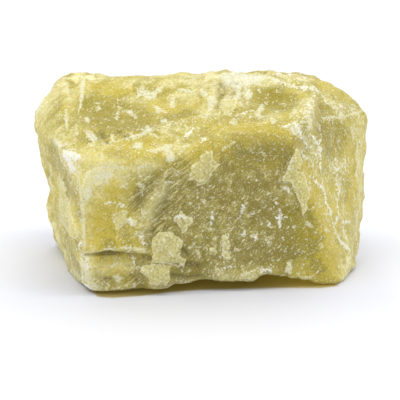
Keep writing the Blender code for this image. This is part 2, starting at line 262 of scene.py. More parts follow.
def distance_to(path, places):
    """Distance from each place to a path, in as many dimensions as both have."""
    best = np.linalg.norm(places - path[0], axis=1)
    for start, stop in zip(path[:-1], path[1:]):
        run = stop - start
        share = np.clip((places - start) @ run / max(run @ run, SHORTEST_RUN), 0.0, 1.0)
        best = np.minimum(best, np.linalg.norm(places - start - share[:, None] * run, axis=1))
    return best


def stroke_field(strokes):
    """Depth inside the nearest stroke, in mm."""
    field = np.full(len(points), FIELD_FLOOR)
    for half_width, pixels in strokes.values():
        path = np.array([cast(pixel) for pixel in pixels])
        field = np.maximum(field, half_width - distance_to(path, points) / MM)
    return field


spot = stroke_field({"middle": (1.0, [PICTURE_MIDDLE])})
print("a spot of 1 mm radius in the picture's middle holds", int((spot > 0).sum()), "points of the skin")

# %% [markdown]
# An outline works the other way round: each point of the skin is projected to the pixel where the camera sees
# it, and tested there. The far side of the stone would pass the same test, so an outline marks only the skin
# that is near its own middle.

# %% Fields of outlines
OUTLINE_REACH = 2.0


def pixels_of(places):
    """The pixel each place is seen at, and the millimetres a pixel covers there."""
    seen = (places - eye) @ turn
    depth = -seen[:, 2]
    across = HALF_FRAME + PIXELS_PER_SLOPE * seen[:, 0] / depth
    down = HALF_FRAME - PIXELS_PER_SLOPE * seen[:, 1] / depth
    return np.stack([across, down], axis=1), depth / PIXELS_PER_SLOPE / MM


def inside(outline, places):
    """Whether each place is inside an outline: a line to its right crosses the rim an odd number of times."""
    odd = np.zeros(len(places), bool)
    for (x0, y0), (x1, y1) in zip(outline, np.roll(outline, -1, axis=0)):
        if y0 != y1:
            level = (y0 > places[:, 1]) != (y1 > places[:, 1])
            odd ^= level & (places[:, 0] < x0 + (places[:, 1] - y0) * (x1 - x0) / (y1 - y0))
    return odd


def depth_inside(outline, places, pixel_mm):
    """Depth of each place inside one outline, in mm, below 0 outside."""
    rim = distance_to(np.vstack([outline, outline[:1]]), places) * pixel_mm
    return np.where(inside(outline, places), rim, -rim)


seen_pixels, mm_per_pixel = pixels_of(points)


def outline_field(outlines):
    """Depth inside the nearest outline, in mm."""
    field = np.full(len(points), FIELD_FLOOR)
    for corners in outlines.values():
        outline = np.array(corners, float)
        middle = outline.mean(axis=0)
        reach = np.linalg.norm(outline - middle, axis=1).max() * mm_per_pixel.mean() * MM * OUTLINE_REACH
        near = np.linalg.norm(points - cast(middle), axis=1) < reach
        marked = np.maximum(field, depth_inside(outline, seen_pixels, mm_per_pixel))
        field = np.where(near, marked, field)
    return field


print("a pixel covers about", round(float(mm_per_pixel.mean()), 3), "mm of stone")

# %% [markdown]
# ## Plates
# Where a flake has half lifted off, or one has broken away, a patch with corners of its own is left, paler
# than the skin around it. Such a patch has a crisp rim, so it is drawn as an outline and not as a stroke. A
# shelf is a broader step of the same kind that keeps the colour of the skin.

# %% Plates
PLATES = {
    "rim_patch": [(294, 271), (300, 272), (305, 276), (311, 275), (320, 268), (318, 272), (311, 279),
                  (303, 279)],
    "front_fan": [(221, 236), (226, 233), (229, 240), (231, 247), (228, 252), (231, 258), (226, 261),
                  (222, 255), (223, 247)],
    "fan_flake": [(207, 248), (213, 246), (218, 250), (216, 256), (209, 254)],
    "square_plate": [(160, 232), (170, 232), (176, 235), (183, 242), (180, 249), (179, 256), (186, 259),
                     (184, 266), (176, 263), (162, 263), (150, 262), (153, 255), (151, 246), (153, 239)],
    "leaf_plate": [(201, 154), (213, 150), (213, 159), (220, 165), (212, 173), (209, 178), (205, 183),
                   (197, 186), (196, 180), (188, 181), (190, 172), (192, 165), (198, 162)],
    "diamond": [(173, 217), (178, 214), (181, 210), (184, 214), (190, 217), (194, 221), (188, 226),
                (186, 232), (182, 233), (179, 226), (175, 222)],
    "arrowhead": [(288, 260), (293, 266), (290, 275), (284, 270)],
    "leaf_left": [(111, 217), (116, 212), (124, 209), (129, 211), (126, 218), (128, 222), (121, 227),
                  (118, 230), (119, 236), (117, 237), (116, 230), (114, 224)],
    "leaf_right": [(126, 218), (131, 216), (137, 219), (136, 225), (131, 226), (127, 222)],
    "pale_block": [(220, 101), (225, 99), (237, 100), (238, 105), (235, 111), (231, 116), (225, 118),
                   (223, 113), (219, 108)],
    "foot_plate": [(142, 266), (152, 264), (168, 263), (171, 266), (169, 272), (170, 278), (167, 285),
                   (150, 284), (148, 276), (140, 271)],
    "chip_low": [(288, 169), (281, 182), (290, 181), (296, 195), (300, 203), (302, 215), (307, 207),
                 (306, 203), (311, 196), (306, 180), (304, 172), (299, 171), (294, 168)],
    "chip_high": [(297, 147), (291, 159), (288, 169), (294, 168), (300, 170), (302, 162), (300, 152)],
    "left_tongue": [(58, 176), (61, 174), (66, 190), (70, 204), (74, 216), (79, 230), (79, 236), (76, 239),
                    (70, 236), (64, 226), (60, 210)],
    "left_flake": [(100, 167), (104, 171), (96, 181), (89, 192), (82, 198), (84, 178), (92, 169)],
}
plate = outline_field(PLATES)
print("plates:", len(PLATES), "share of the skin:", round(float((plate > 0).mean()), 3))

# %% A shelf along the front rim
SHELVES = {
    "rim_scale": [(206, 270), (214, 268), (235, 271), (256, 270), (280, 268), (304, 272), (308, 283),
                  (288, 283), (270, 282), (250, 281), (235, 280), (222, 283), (206, 284)],
}
shelf = outline_field(SHELVES)
print("shelves:", len(SHELVES), "share of the skin:", round(float((shelf > 0).mean()), 3))

# %% [markdown]
# ## Bruised patches
# Where the stone was struck, the surface is full of tiny cracks and looks pale. These patches have ragged,
# sometimes star-shaped outlines and stand a little proud of the skin around them. The short ones are strokes,
# and those with corners of their own are outlines.

# %% Bruises on the top and the front slab's rim
TOP_BRUISES = {
    "flute_front": (0.3, [(66, 109), (66, 118), (67, 128)]),
    "nose_rim": (0.45, [(46, 97), (40, 107), (36, 118)]),
    "spot_a": (0.26, [(96, 103), (100, 104)]),
    "faint_flute": (0.16, [(117, 92), (118, 104), (118, 118)]),
    "spot_d": (0.28, [(118, 106), (120, 108)]),
    "spot_e": (0.2, [(119, 84), (120, 90)]),
    "spot_f": (0.3, [(118, 112), (116, 119)]),
    "slant_a": (0.16, [(113, 86), (110, 90)]),
    "slant_b": (0.16, [(106, 94), (103, 98)]),
    "front_left_c": (0.3, [(76, 124), (77, 135)]),
    "front_left_e": (0.55, [(55, 140), (60, 147), (66, 144)]),
    "lip_dash": (0.16, [(178, 117), (173, 120)]),
    "slab_mottle_a": (0.5, [(180, 89), (190, 92)]),
    "band_dash_a": (0.2, [(219, 117), (219, 125)]),
    "band_dash_b": (0.22, [(231, 123), (236, 121)]),
    "band_dash_c": (0.2, [(223, 129), (217, 134)]),
    "band_dash_d": (0.26, [(183, 147), (189, 145)]),
    "band_patch": (0.55, [(168, 151), (172, 158), (168, 160)]),
    "band_line": (0.2, [(100, 166), (112, 166), (122, 167), (133, 168), (145, 166)]),
    "band_mid_b": (0.3, [(150, 134), (157, 137)]),
}
print("bruises on the top:", len(TOP_BRUISES))

# %% Bruises on the front
FRONT_BRUISES = {
    "left_dash_a": (0.22, [(95, 217), (98, 216)]),
    "left_dash_b": (0.2, [(89, 205), (91, 209)]),
    "left_dash_c": (0.26, [(103, 184), (107, 182)]),
    "middle_d": (0.2, [(189, 248), (197, 247), (206, 248), (212, 251)]),
    "middle_e": (0.3, [(197, 251), (200, 256)]),
    "middle_f": (0.2, [(207, 230), (214, 230)]),
    "rim_d": (0.42, [(290, 262), (287, 271)]),
    "rim_f": (0.3, [(136, 268), (143, 268)]),
    "low_left_c": (0.26, [(111, 267), (115, 264)]),
    "low_left_d": (0.5, [(92, 283), (97, 287)]),
    # ledge_lip is a painted highlight on the rim of the ledge, above its crack.
    "ledge_lip": (0.26, [(90, 252), (102, 250), (113, 249), (123, 248), (134, 248), (147, 252)]),
    "fan_a": (0.26, [(220, 152), (227, 147), (234, 142)]),
    "fan_b": (0.18, [(224, 156), (230, 153)]),
    "fan_c": (0.3, [(262, 152), (266, 156)]),
    "fan_d": (0.2, [(238, 158), (241, 160)]),
    "right_low_a": (0.35, [(325, 229), (329, 231)]),
    "right_low_b": (0.35, [(320, 244), (323, 247)]),
    "right_low_c": (0.4, [(307, 223), (311, 227)]),
}
print("bruises on the front:", len(FRONT_BRUISES))

# %% Bruises on the two ends
SIDE_BRUISES = {
    "left_ribbon": (0.36, [(79, 180), (81, 194), (83, 212), (84, 232), (84, 246)]),
    "left_corner_low": (0.6, [(86, 268), (87, 280), (91, 287)]),
    "flute_thin": (0.16, [(57, 102), (60, 118), (61, 124)]),
    "shoulder_patch": (0.26, [(344, 103), (352, 110)]),
    "pocket_ledge": (0.34, [(324, 119), (332, 117), (342, 118), (350, 115), (362, 111)]),
    "end_pale": (0.4, [(351, 128), (353, 138)]),
    "left_strip_b": (0.4, [(51, 166), (50, 180), (53, 190)]),
    "left_strip_c": (0.3, [(64, 240), (70, 258), (76, 274)]),
    "right_line_a": (0.3, [(358, 142), (357, 160), (357, 176)]),
    "right_line_b": (0.3, [(359, 186), (358, 215), (357, 240)]),
}
print("bruises on the ends:", len(SIDE_BRUISES))

# %% Bruises with corners, high on the stone
HIGH_OUTLINES = {
    "seam_side": [(206, 99), (212, 94), (217, 97), (218, 104), (211, 113), (207, 108)],
    "crumbly_side": [(243, 88), (250, 88), (254, 93), (252, 99), (246, 101), (243, 97)],
    "star": [(134, 86), (139, 88), (144, 84), (146, 88), (152, 91), (158, 87), (163, 86), (161, 91),
             (157, 94), (156, 98), (149, 101), (144, 97), (139, 96), (135, 100), (138, 93)],
    "star_front": [(150, 105), (157, 104), (163, 108), (170, 113), (165, 114), (162, 112), (156, 114),
                   (155, 109)],
    "slab_middle": [(124, 111), (131, 108), (135, 114), (139, 119), (136, 120), (130, 116), (127, 114)],
    "slab_left": [(95, 109), (99, 107), (103, 110), (99, 112)],
    "crumbly": [(219, 76), (228, 72), (245, 72), (262, 73), (270, 77), (264, 82), (256, 86), (248, 88),
                (241, 89), (241, 101), (236, 98), (235, 90), (229, 87), (222, 88)],
    "flute_back": [(66, 82), (69, 84), (72, 98), (71, 102), (69, 99), (66, 91)],
    "star_right": [(169, 102), (173, 96), (176, 98), (175, 104), (176, 108), (173, 108), (170, 107)],
    "flute_long": [(81, 78), (87, 77), (85, 88), (83, 102), (79, 115), (77, 112), (79, 98), (80, 86)],
    "left_high": [(85, 117), (88, 118), (92, 122), (88, 125), (83, 123)],
    "left_tooth": [(84, 132), (90, 129), (95, 134), (98, 138), (97, 144), (93, 143), (88, 139)],
    "tooth_a": [(109, 132), (112, 128), (113, 133), (116, 138), (114, 143), (111, 143), (110, 138)],
    "tooth_b": [(126, 131), (133, 133), (137, 136), (143, 132), (147, 122), (150, 127), (153, 130),
                (163, 129), (160, 131), (150, 134), (141, 137), (133, 140), (130, 137)],
    "tooth_c": [(160, 120), (165, 118), (168, 121), (167, 125), (161, 125)],
    "tall_patch": [(256, 117), (256, 111), (260, 105), (262, 102), (265, 105), (265, 110), (261, 113),
                   (259, 119)],
    "far_band": [(267, 74), (274, 77), (284, 82), (294, 84), (306, 85), (316, 88), (318, 93), (310, 91),
                 (300, 89), (290, 88), (281, 84), (272, 79)],
    "wedge_blade": [(293, 121), (296, 119), (300, 124), (303, 131), (303, 142), (297, 137), (291, 134),
                    (288, 129)],
    "wedge_arm": [(279, 129), (281, 126), (287, 125), (293, 121), (291, 128), (284, 129)],
    "wedge_leaf": [(288, 118), (294, 106), (298, 113), (296, 116), (293, 114), (290, 121)],
    "scoop_a": [(256, 89), (260, 88), (263, 90), (259, 92)],
    "scoop_b": [(274, 90), (278, 90), (281, 91), (277, 93)],
    "scoop_c": [(278, 101), (283, 102), (287, 104), (282, 105)],
    "scoop_d": [(264, 100), (268, 101), (268, 105), (265, 104)],
    "scoop_e": [(274, 111), (278, 109), (280, 113), (276, 114)],
    "scoop_front": [(268, 119), (274, 118), (278, 121), (276, 125), (270, 122)],
    "crest_a": [(228, 122), (234, 120), (240, 121), (236, 124)],
    "crest_b": [(256, 132), (260, 130), (263, 131), (259, 133)],
    "slab_end": [(199, 86), (204, 90), (210, 94), (205, 99), (200, 95)],
}
print("bruises with corners, high on the stone:", len(HIGH_OUTLINES))

# %% Bruises with corners, on the front
LOW_OUTLINES = {
    "streak_foot": [(84, 186), (90, 184), (94, 190), (92, 198), (86, 203), (83, 197)],
    "band_strong": [(144, 151), (152, 148), (160, 147), (168, 144), (173, 145), (171, 149), (162, 151),
                    (152, 153)],
    "band_cream": [(96, 163), (106, 165), (118, 166), (132, 167), (140, 166), (139, 169), (128, 170),
                   (102, 169)],
    "plate_foot": [(168, 262), (178, 264), (186, 260), (184, 267), (176, 268), (168, 266)],
    "band_left": [(98, 173), (107, 171), (113, 174), (110, 180), (102, 181), (97, 179)],
    "band_streak": [(102, 166), (105, 166), (100, 175), (94, 184), (90, 188), (92, 182), (98, 173)],
    "ledge_band": [(122, 248), (130, 247), (138, 247), (146, 248), (152, 254), (146, 254), (138, 252),
                   (128, 250)],
    "foot_star": [(111, 276), (118, 273), (121, 276), (128, 280), (121, 281), (117, 285), (115, 280)],
    "band_middle": [(129, 148), (135, 142), (143, 140), (144, 147), (140, 150)],
    "band_slip": [(93, 182), (99, 173), (103, 170), (101, 177), (96, 184)],
    "leaf_heart": [(127, 218), (131, 217), (136, 219), (135, 224), (131, 225), (128, 222)],
    "ridge_grey": [(139, 209), (144, 208), (146, 214), (141, 216)],
    "ridge_foot": [(138, 233), (142, 231), (146, 236), (144, 243), (139, 241)],
    "ridge_head": [(162, 182), (167, 180), (175, 181), (174, 184), (166, 185)],
    "upper_left_a": [(134, 186), (138, 181), (143, 184), (149, 188), (143, 189)],
    "upper_left_b": [(118, 186), (123, 184), (127, 187), (122, 190)],
    "upper_left_c": [(146, 176), (150, 174), (151, 178), (147, 179)],
}
print("bruises with corners, on the front:", len(LOW_OUTLINES))

# %% The field of bruises
bruise = stroke_field({**TOP_BRUISES, **FRONT_BRUISES, **SIDE_BRUISES})
bruise = np.maximum(bruise, outline_field({**HIGH_OUTLINES, **LOW_OUTLINES}))
print("share of the skin that is bruised:", round(float((bruise > 0).mean()), 3))

# %% [markdown]
# ## Frost
# Along its sharpest edges, and in the crumbly pocket at the middle of the top, the stone is crushed to white
# sugar-like grains. Frost has no rim: the grains only get denser towards an edge. So the wide zones set how
# many white grains there are, and the lines and a few small chips mark where they join up.

# %% Frost lines on the top
TOP_FROST = {
    "far_rim": (0.42, [(278, 75), (292, 75), (305, 78)]),
    "far_rim_b": (0.36, [(303, 88), (312, 91)]),
    "wedge_core": (0.24, [(295, 124), (299, 131), (301, 139)]),
    "wedge_core_b": (0.14, [(281, 128), (290, 125)]),
    "far_band_core": (0.27, [(268, 76), (276, 80), (286, 84), (296, 87), (306, 88), (314, 89)]),
    "crumbly_white": (0.26, [(224, 76), (234, 74), (246, 75)]),
    "crumbly_white_b": (0.2, [(232, 81), (244, 79), (256, 80)]),
    "lens_a": (0.2, [(234, 117), (244, 113), (253, 110)]),
    "lens_b": (0.18, [(244, 114), (255, 119)]),
    "band_spot": (0.3, [(203, 141), (206, 141)]),
}
print("frost lines on the top:", len(TOP_FROST))

# %% Frost lines on the two ends
END_FROST = {
    "left_foot_upper": (0.3, [(86, 257), (88, 268)]),
    "left_foot": (0.4, [(82, 272), (83, 281), (88, 288)]),
    "left_corner_b": (0.6, [(70, 154), (78, 158)]),
    "corner_a": (0.3, [(312, 178), (318, 184), (323, 192), (327, 204), (331, 217), (334, 228), (338, 238)]),
    "corner_b": (0.24, [(319, 124), (320, 140), (320, 158), (321, 172), (322, 186)]),
    "end_wave": (0.24, [(337, 174), (336, 182), (338, 190), (337, 205), (338, 214), (336, 224)]),
    "end_fan_a": (0.2, [(335, 171), (340, 167), (344, 163)]),
    "end_fan_c": (0.2, [(344, 160), (346, 166), (345, 172)]),
    "end_fan_b": (0.2, [(336, 160), (340, 165), (340, 172)]),
    "end_low_a": (0.3, [(341, 223), (345, 222), (350, 222)]),
    "end_low_d": (0.24, [(343, 226), (343, 232)]),
    "end_low_b": (0.4, [(338, 240), (344, 245), (349, 251)]),
    "end_low_c": (0.24, [(357, 243), (360, 247)]),
    "end_dot": (0.26, [(359, 142), (361, 144)]),
    "left_corner": (0.6, [(65, 154), (69, 160), (73, 169)]),
    "left_foot_strip": (0.22, [(80, 242), (81, 254), (83, 265)]),
    "pocket_left": (0.2, [(314, 93), (311, 99), (308, 106), (306, 112)]),
    "column_a": (0.2, [(308, 112), (306, 120), (309, 128)]),
    "column_b": (0.16, [(304, 140), (306, 150)]),
    "column_c": (0.34, [(313, 137), (317, 143), (321, 149)]),
    "pocket_head": (0.36, [(315, 90), (317, 93)]),
    "pocket_right": (0.2, [(320, 95), (325, 101), (329, 106)]),
    "pocket_net_a": (0.14, [(330, 107), (335, 108), (342, 107)]),
    "pocket_net_b": (0.14, [(335, 106), (336, 112), (335, 118)]),
}
print("frost lines on the ends:", len(END_FROST))

# %% Frost lines and chips on the front
FRONT_FROST = {
    "left_bar": (0.26, [(107, 202), (115, 203), (123, 205)]),
    "leaf_dot": (0.4, [(131, 219), (133, 223)]),
    "chip_frost_a": (0.22, [(301, 150), (305, 158)]),
    "chip_frost_b": (0.22, [(306, 158), (308, 166)]),
    "chip_frost_c": (0.24, [(315, 152), (317, 160)]),
    "front_a": (0.3, [(213, 213), (211, 224)]),
    "front_e": (0.22, [(255, 177), (257, 181)]),
    "front_f": (0.26, [(282, 188), (286, 188), (289, 192)]),
    "front_h": (0.26, [(269, 224), (271, 227)]),
    "front_i": (0.24, [(281, 211), (280, 218), (279, 227)]),
    "front_p": (0.22, [(276, 218), (287, 217)]),
    "front_r": (0.22, [(255, 219), (259, 219)]),
    "front_t": (0.18, [(277, 199), (276, 204)]),
    "front_j": (0.22, [(283, 236), (283, 240)]),
    "front_l": (0.2, [(266, 240), (269, 237)]),
    "front_m": (0.32, [(177, 216), (182, 216), (185, 218)]),
    "front_n": (0.24, [(136, 234), (142, 237)]),
    "front_o": (0.24, [(140, 240), (145, 244)]),
    "ledge_foot": (0.24, [(133, 257), (134, 263)]),
    "rim_crumbs_a": (0.24, [(222, 268), (231, 266)]),
    "rim_crumbs_b": (0.24, [(260, 272), (266, 269), (271, 271)]),
}
FROST_CHIPS = {
    "front_a": [(240, 207), (243, 203), (246, 205), (246, 209), (243, 212), (241, 216), (238, 214),
                (240, 211)],
    "front_b": [(249, 213), (253, 209), (256, 211), (254, 215), (251, 217)],
    "front_d": [(240, 233), (244, 231), (247, 234), (244, 237)],
    "front_e": [(253, 235), (257, 234), (258, 240), (255, 243)],
    "band_slant": [(183, 137), (188, 131), (194, 127), (197, 127), (192, 133), (186, 139)],
}
frost_line = np.maximum(stroke_field({**TOP_FROST, **END_FROST, **FRONT_FROST}), outline_field(FROST_CHIPS))
print("frost lines on the front:", len(FRONT_FROST), "and chips:", len(FROST_CHIPS))

# %% Thin lines along the edges
THIN_LINES = {
    "end_line_e": (0.18, [(339, 136), (340, 152)]),
    "end_line_f": (0.2, [(336, 148), (337, 164)]),
    "end_line_g": (0.2, [(349, 156), (349, 174)]),
    "end_line_h": (0.2, [(345, 180), (345, 196)]),
    "end_line_i": (0.2, [(342, 200), (343, 218)]),
    "end_line_j": (0.16, [(330, 158), (331, 176)]),
    "end_line_k": (0.18, [(355, 190), (354, 208)]),
    # lip is a painted highlight where the edge of the lip catches the light.
    "lip": (0.16, [(66, 151), (74, 149), (88, 146), (104, 143), (117, 142), (129, 138), (145, 132),
                   (158, 128), (170, 124), (186, 121), (199, 118), (213, 116)]),
    "chip_edge": (0.16, [(298, 147), (293, 156), (289, 166), (285, 175), (281, 182)]),
    "ridge_top": (0.14, [(244, 113), (238, 116), (233, 118)]),
    "lip_streak": (0.14, [(144, 132), (137, 134), (131, 138)]),
    "corner_second": (0.15, [(328, 186), (333, 200), (337, 210), (340, 228)]),
    "end_line_a": (0.12, [(345, 128), (346, 150), (345, 172)]),
    "end_line_b": (0.12, [(352, 146), (352, 170), (350, 196)]),
    "end_line_c": (0.12, [(341, 178), (344, 200), (346, 216)]),
    "crest_line": (0.14, [(244, 124), (262, 120), (280, 127)]),
}
thin_line = stroke_field(THIN_LINES)
print("thin lines:", len(THIN_LINES))

# %% Frost zones
FROST_ZONES = {
    "left_foot": (0.7, [(74, 270), (82, 284)]),
    "top_edge": (0.7, [(176, 75), (212, 74)]),
    "band_left": (0.1, [(92, 188), (98, 180), (106, 168)]),
    "far_rim": (1.2, [(280, 75), (304, 78)]),
    "crumbly_top": (1.6, [(225, 78), (242, 80), (258, 79)]),
    "crumbly_drop": (1.2, [(238, 88), (240, 100)]),
    "far_ridge": (0.7, [(266, 76), (290, 83), (316, 90)]),
    "pocket_rim": (0.6, [(314, 92), (310, 108), (310, 128)]),
    "column": (1.5, [(306, 118), (306, 140), (312, 152)]),
    "ledge": (0.8, [(326, 117), (340, 117), (358, 112)]),
    "corner_upper": (0.8, [(307, 140), (311, 160), (316, 180)]),
    "corner_lower": (0.7, [(322, 192), (329, 215), (336, 236)]),
    "end_upper": (1.1, [(334, 168), (343, 165), (338, 190)]),
    "end_lower": (1.1, [(343, 224), (346, 236), (349, 246)]),
    "shoulder": (0.7, [(334, 104), (358, 112)]),
    "slab_lip": (0.1, [(84, 146), (113, 142), (146, 132), (180, 124), (213, 116)]),
    "slab_edge": (0.5, [(217, 84), (216, 104), (205, 118)]),
    "scoop_front": (0.3, [(244, 117), (262, 118), (282, 125)]),
    "left_corner": (1.6, [(64, 152), (70, 164), (78, 180)]),
    "band": (0.3, [(160, 148), (172, 147), (196, 128)]),
    "left_nose": (0.7, [(44, 100), (38, 116)]),
    "front_middle": (0.5, [(221, 242), (222, 251), (226, 258)]),
    "lower_rim": (0.05, [(210, 272), (240, 273), (272, 267)]),
    "foot_left": (0.5, [(92, 284), (130, 288)]),
}
frost_zone = stroke_field(FROST_ZONES)
print("frost zones:", len(FROST_ZONES), "share of the skin:", round(float((frost_zone > 0).mean()), 3))

# %% [markdown]
# ## Edges that frost by themselves
# The sides away from the camera need frost too. How sharp an edge is can be measured: a heavily smoothed
# copy of the skin lies inside the real one at an edge and outside it in a hollow. The distance between the
# two is the edge field, and it frosts every side by the same rule.

# %% How sharp each point is
SHARPNESS_PASSES = 45

smoothed = bmesh.new()
smoothed.from_mesh(skin.data)
smooth(smoothed, SHARPNESS_PASSES)
smooth_points = np.array([vertex.co for vertex in smoothed.verts])
smoothed.free()
edge = np.einsum("ij,ij->i", points - smooth_points, normals) / MM
print("sharpness in mm, from hollow to edge", np.round(np.percentile(edge, (1, 50, 90, 99)), 3))

# %% [markdown]
# ## Scattered marks
# No picture shows the back, but the same knocks made it. Short bruises are scattered over the skin that the
# camera doesn't see, with a few plates: each is a jagged spot laid flat on the skin. The middle of the front
# has a scatter of the smallest ones too, which are too many to place one by one. A fixed seed keeps them all
# in place from run to run. The sharp edges of the far sides frost by the edge field.

# %% Jagged spots at random places
AWAY_SOFTNESS = 0.25
SPOT_SEED = 12
SPOT_CORNERS = 9
SPOT_REACH = 2.0
JAGGED = 0.5
SURE = 0.9
LIKELY = 0.5


def ease(t):
    """0 to 1 with a soft start and a soft end."""
    t = np.clip(t, 0.0, 1.0)
    return t * t * (3.0 - 2.0 * t)


away = ease(-(normals @ (eye / np.linalg.norm(eye))) / AWAY_SOFTNESS + 0.5)
random = np.random.default_rng(SPOT_SEED)


def scattered_spots(field, count, radii, share):
    """The field with jagged spots added at random places where a share of the skin is nearly 1."""
    for start in random.choice(np.flatnonzero(share > SURE), count, replace=False):
        across = np.cross(normals[start], random.normal(size=3))
        across /= np.linalg.norm(across)
        offset = (points - points[start]) / MM
        u, v = offset @ across, offset @ np.cross(normals[start], across)
        corners = random.uniform(*radii) * random.uniform(1.0 - JAGGED, 1.0 + JAGGED, SPOT_CORNERS)
        turns = np.linspace(-math.pi, math.pi, SPOT_CORNERS + 1)
        radius = np.interp(np.arctan2(v, u), turns, np.append(corners, corners[0]))
        near = (np.linalg.norm(offset, axis=1) < SPOT_REACH * radii[1]) & (share > LIKELY)
        field = np.where(near, np.maximum(field, radius - np.hypot(u, v)), field)
    return field


print("share of the skin turned away:", round(float((away > LIKELY).mean()), 2))

# %% Marks on the hidden sides and flakes on the front
HIDDEN_BRUISES = 110
BRUISE_RADII = (0.25, 1.1)
HIDDEN_PLATES = 9
PLATE_RADII = (1.6, 3.4)
FRONT_FLAKES = 42
FLAKE_RADII = (0.06, 0.36)
FLAKED_FRONT = np.array([(186, 190), (210, 186), (240, 176), (276, 186), (300, 232), (290, 262), (192, 268)],
                        float)
FAR_EDGE_START = 0.1
FAR_EDGE_GAIN = 9.0

bruise = scattered_spots(bruise, HIDDEN_BRUISES, BRUISE_RADII, away)
plate = scattered_spots(plate, HIDDEN_PLATES, PLATE_RADII, away)
flaked = inside(FLAKED_FRONT, seen_pixels) * (1.0 - away)
bruise = scattered_spots(bruise, FRONT_FLAKES, FLAKE_RADII, flaked)
far_edge = away * (edge - FAR_EDGE_START) * FAR_EDGE_GAIN + (1.0 - away) * FIELD_FLOOR
frost_zone = np.maximum(frost_zone, far_edge)
print("scattered:", HIDDEN_BRUISES, "bruises,", HIDDEN_PLATES, "plates and", FRONT_FLAKES, "flakes")

# %% [markdown]
# ## Cracks and grooves
# Dark lines on a stone are mostly shape: a groove sees little light. Each of these strokes is cut into the
# skin, and its colour is deepened a little with painted shade, so that it also reads in flat light. Some of
# them are painted shadows beside a lip, a wedge, a ridge, a chip or a leaf. The fine ribs of the front are
# too narrow to cut, so a few zones mark where the material draws them, as bumps with painted shade in their
# hollows and a painted highlight on their crests.

# %% Cracks
CRACKS = {
    "slab_seam": (0.13, [(220, 93), (221, 98), (219, 105), (216, 110)]),
    "block_head": (0.12, [(220, 94), (225, 93)]),
    "lip_shadow_a": (0.16, [(86, 144), (98, 141), (105, 140)]),
    "lip_shadow_b": (0.2, [(117, 139), (129, 135)]),
    "lip_shadow_c": (0.14, [(150, 128), (170, 121), (196, 116)]),
    "crumbly_a": (0.2, [(229, 86), (237, 83), (247, 82)]),
    "crumbly_b": (0.16, [(236, 77), (246, 76)]),
    "crumbly_c": (0.16, [(251, 79), (262, 77)]),
    "crumbly_e": (0.16, [(243, 87), (251, 85), (257, 82)]),
    "wedge_shadow": (0.2, [(290, 136), (296, 140), (302, 143)]),
    "lip_notch_a": (0.5, [(101, 131), (104, 138), (107, 142)]),
    "lip_notch_b": (0.4, [(119, 131), (125, 136)]),
    "crumbly_gap": (0.35, [(230, 85), (238, 84)]),
    "ridge_shadow": (0.24, [(267, 75), (276, 77), (285, 80)]),
    "pocket_core": (0.35, [(320, 106), (322, 112)]),
    "seam_foot": (0.2, [(212, 112), (215, 112)]),
    "ledge_crack": (0.4, [(86, 255), (98, 254), (110, 252), (120, 252), (130, 253), (140, 255),
                          (150, 257)]),
    "ledge_gap": (0.55, [(145, 257), (151, 259)]),
    "groove_a": (0.22, [(170, 190), (165, 202), (160, 213), (157, 226)]),
    "groove_d": (0.2, [(168, 180), (175, 168)]),
    "ridge_left": (0.2, [(154, 190), (149, 199), (145, 208)]),
    "striation_a": (0.16, [(134, 190), (138, 200), (137, 212)]),
    "striation_b": (0.16, [(146, 186), (146, 196), (143, 206)]),
    "striation_c": (0.16, [(130, 198), (133, 208)]),
    "striation_d": (0.16, [(176, 198), (174, 208), (171, 216)]),
    "striation_e": (0.18, [(156, 214), (153, 224), (151, 232)]),
    "striation_f": (0.16, [(184, 196), (181, 206)]),
    "groove_c": (0.28, [(139, 192), (141, 203), (140, 213)]),
    "plate_gap_a": (0.6, [(182, 249), (187, 254)]),
    "plate_gap_b": (0.6, [(188, 264), (198, 266)]),
    "plate_gap_c": (0.55, [(172, 276), (186, 278), (200, 277)]),
    "hatch_a": (0.2, [(135, 262), (138, 269), (142, 274)]),
    "hatch_b": (0.26, [(138, 278), (145, 283)]),
    "hatch_c": (0.2, [(143, 262), (149, 263)]),
    "low_left_gap": (0.4, [(131, 275), (137, 281)]),
    "brown_spot": (0.42, [(105, 279), (111, 279)]),
    "left_seam": (0.2, [(56, 156), (64, 168), (68, 176)]),
    "left_step": (0.3, [(70, 240), (77, 242)]),
    "chip_shadow": (0.22, [(287, 183), (293, 190), (297, 200), (300, 212)]),
    "plate_side": (0.24, [(184, 241), (182, 248), (181, 256)]),
    "leaf_shadow": (0.2, [(189, 182), (197, 188), (206, 185)]),
}
crack = stroke_field(CRACKS)
print("cracks:", len(CRACKS))

# %% Grooved zones
GROOVE_ZONES = {
    "main_groove": (1.4, [(158, 228), (166, 212), (176, 196)]),
    "upper_left": (1.2, [(138, 204), (142, 192), (149, 183)]),
    "upper_right": (1.4, [(168, 190), (176, 174), (182, 166)]),
    "foot_groove": (1.2, [(134, 282), (137, 270)]),
}
groove = stroke_field(GROOVE_ZONES)
print("grooved zones:", len(GROOVE_ZONES))

# %% [markdown]
# ## Zones of colour
# Iron tints jadeite yellow near old surfaces, and the heart of the chunk stays grey-olive. The zones are
# broad and fade into each other, so their strokes are wide and the material mixes them softly. On the hidden
# sides a broad noise takes the place of yellow and olive strokes.

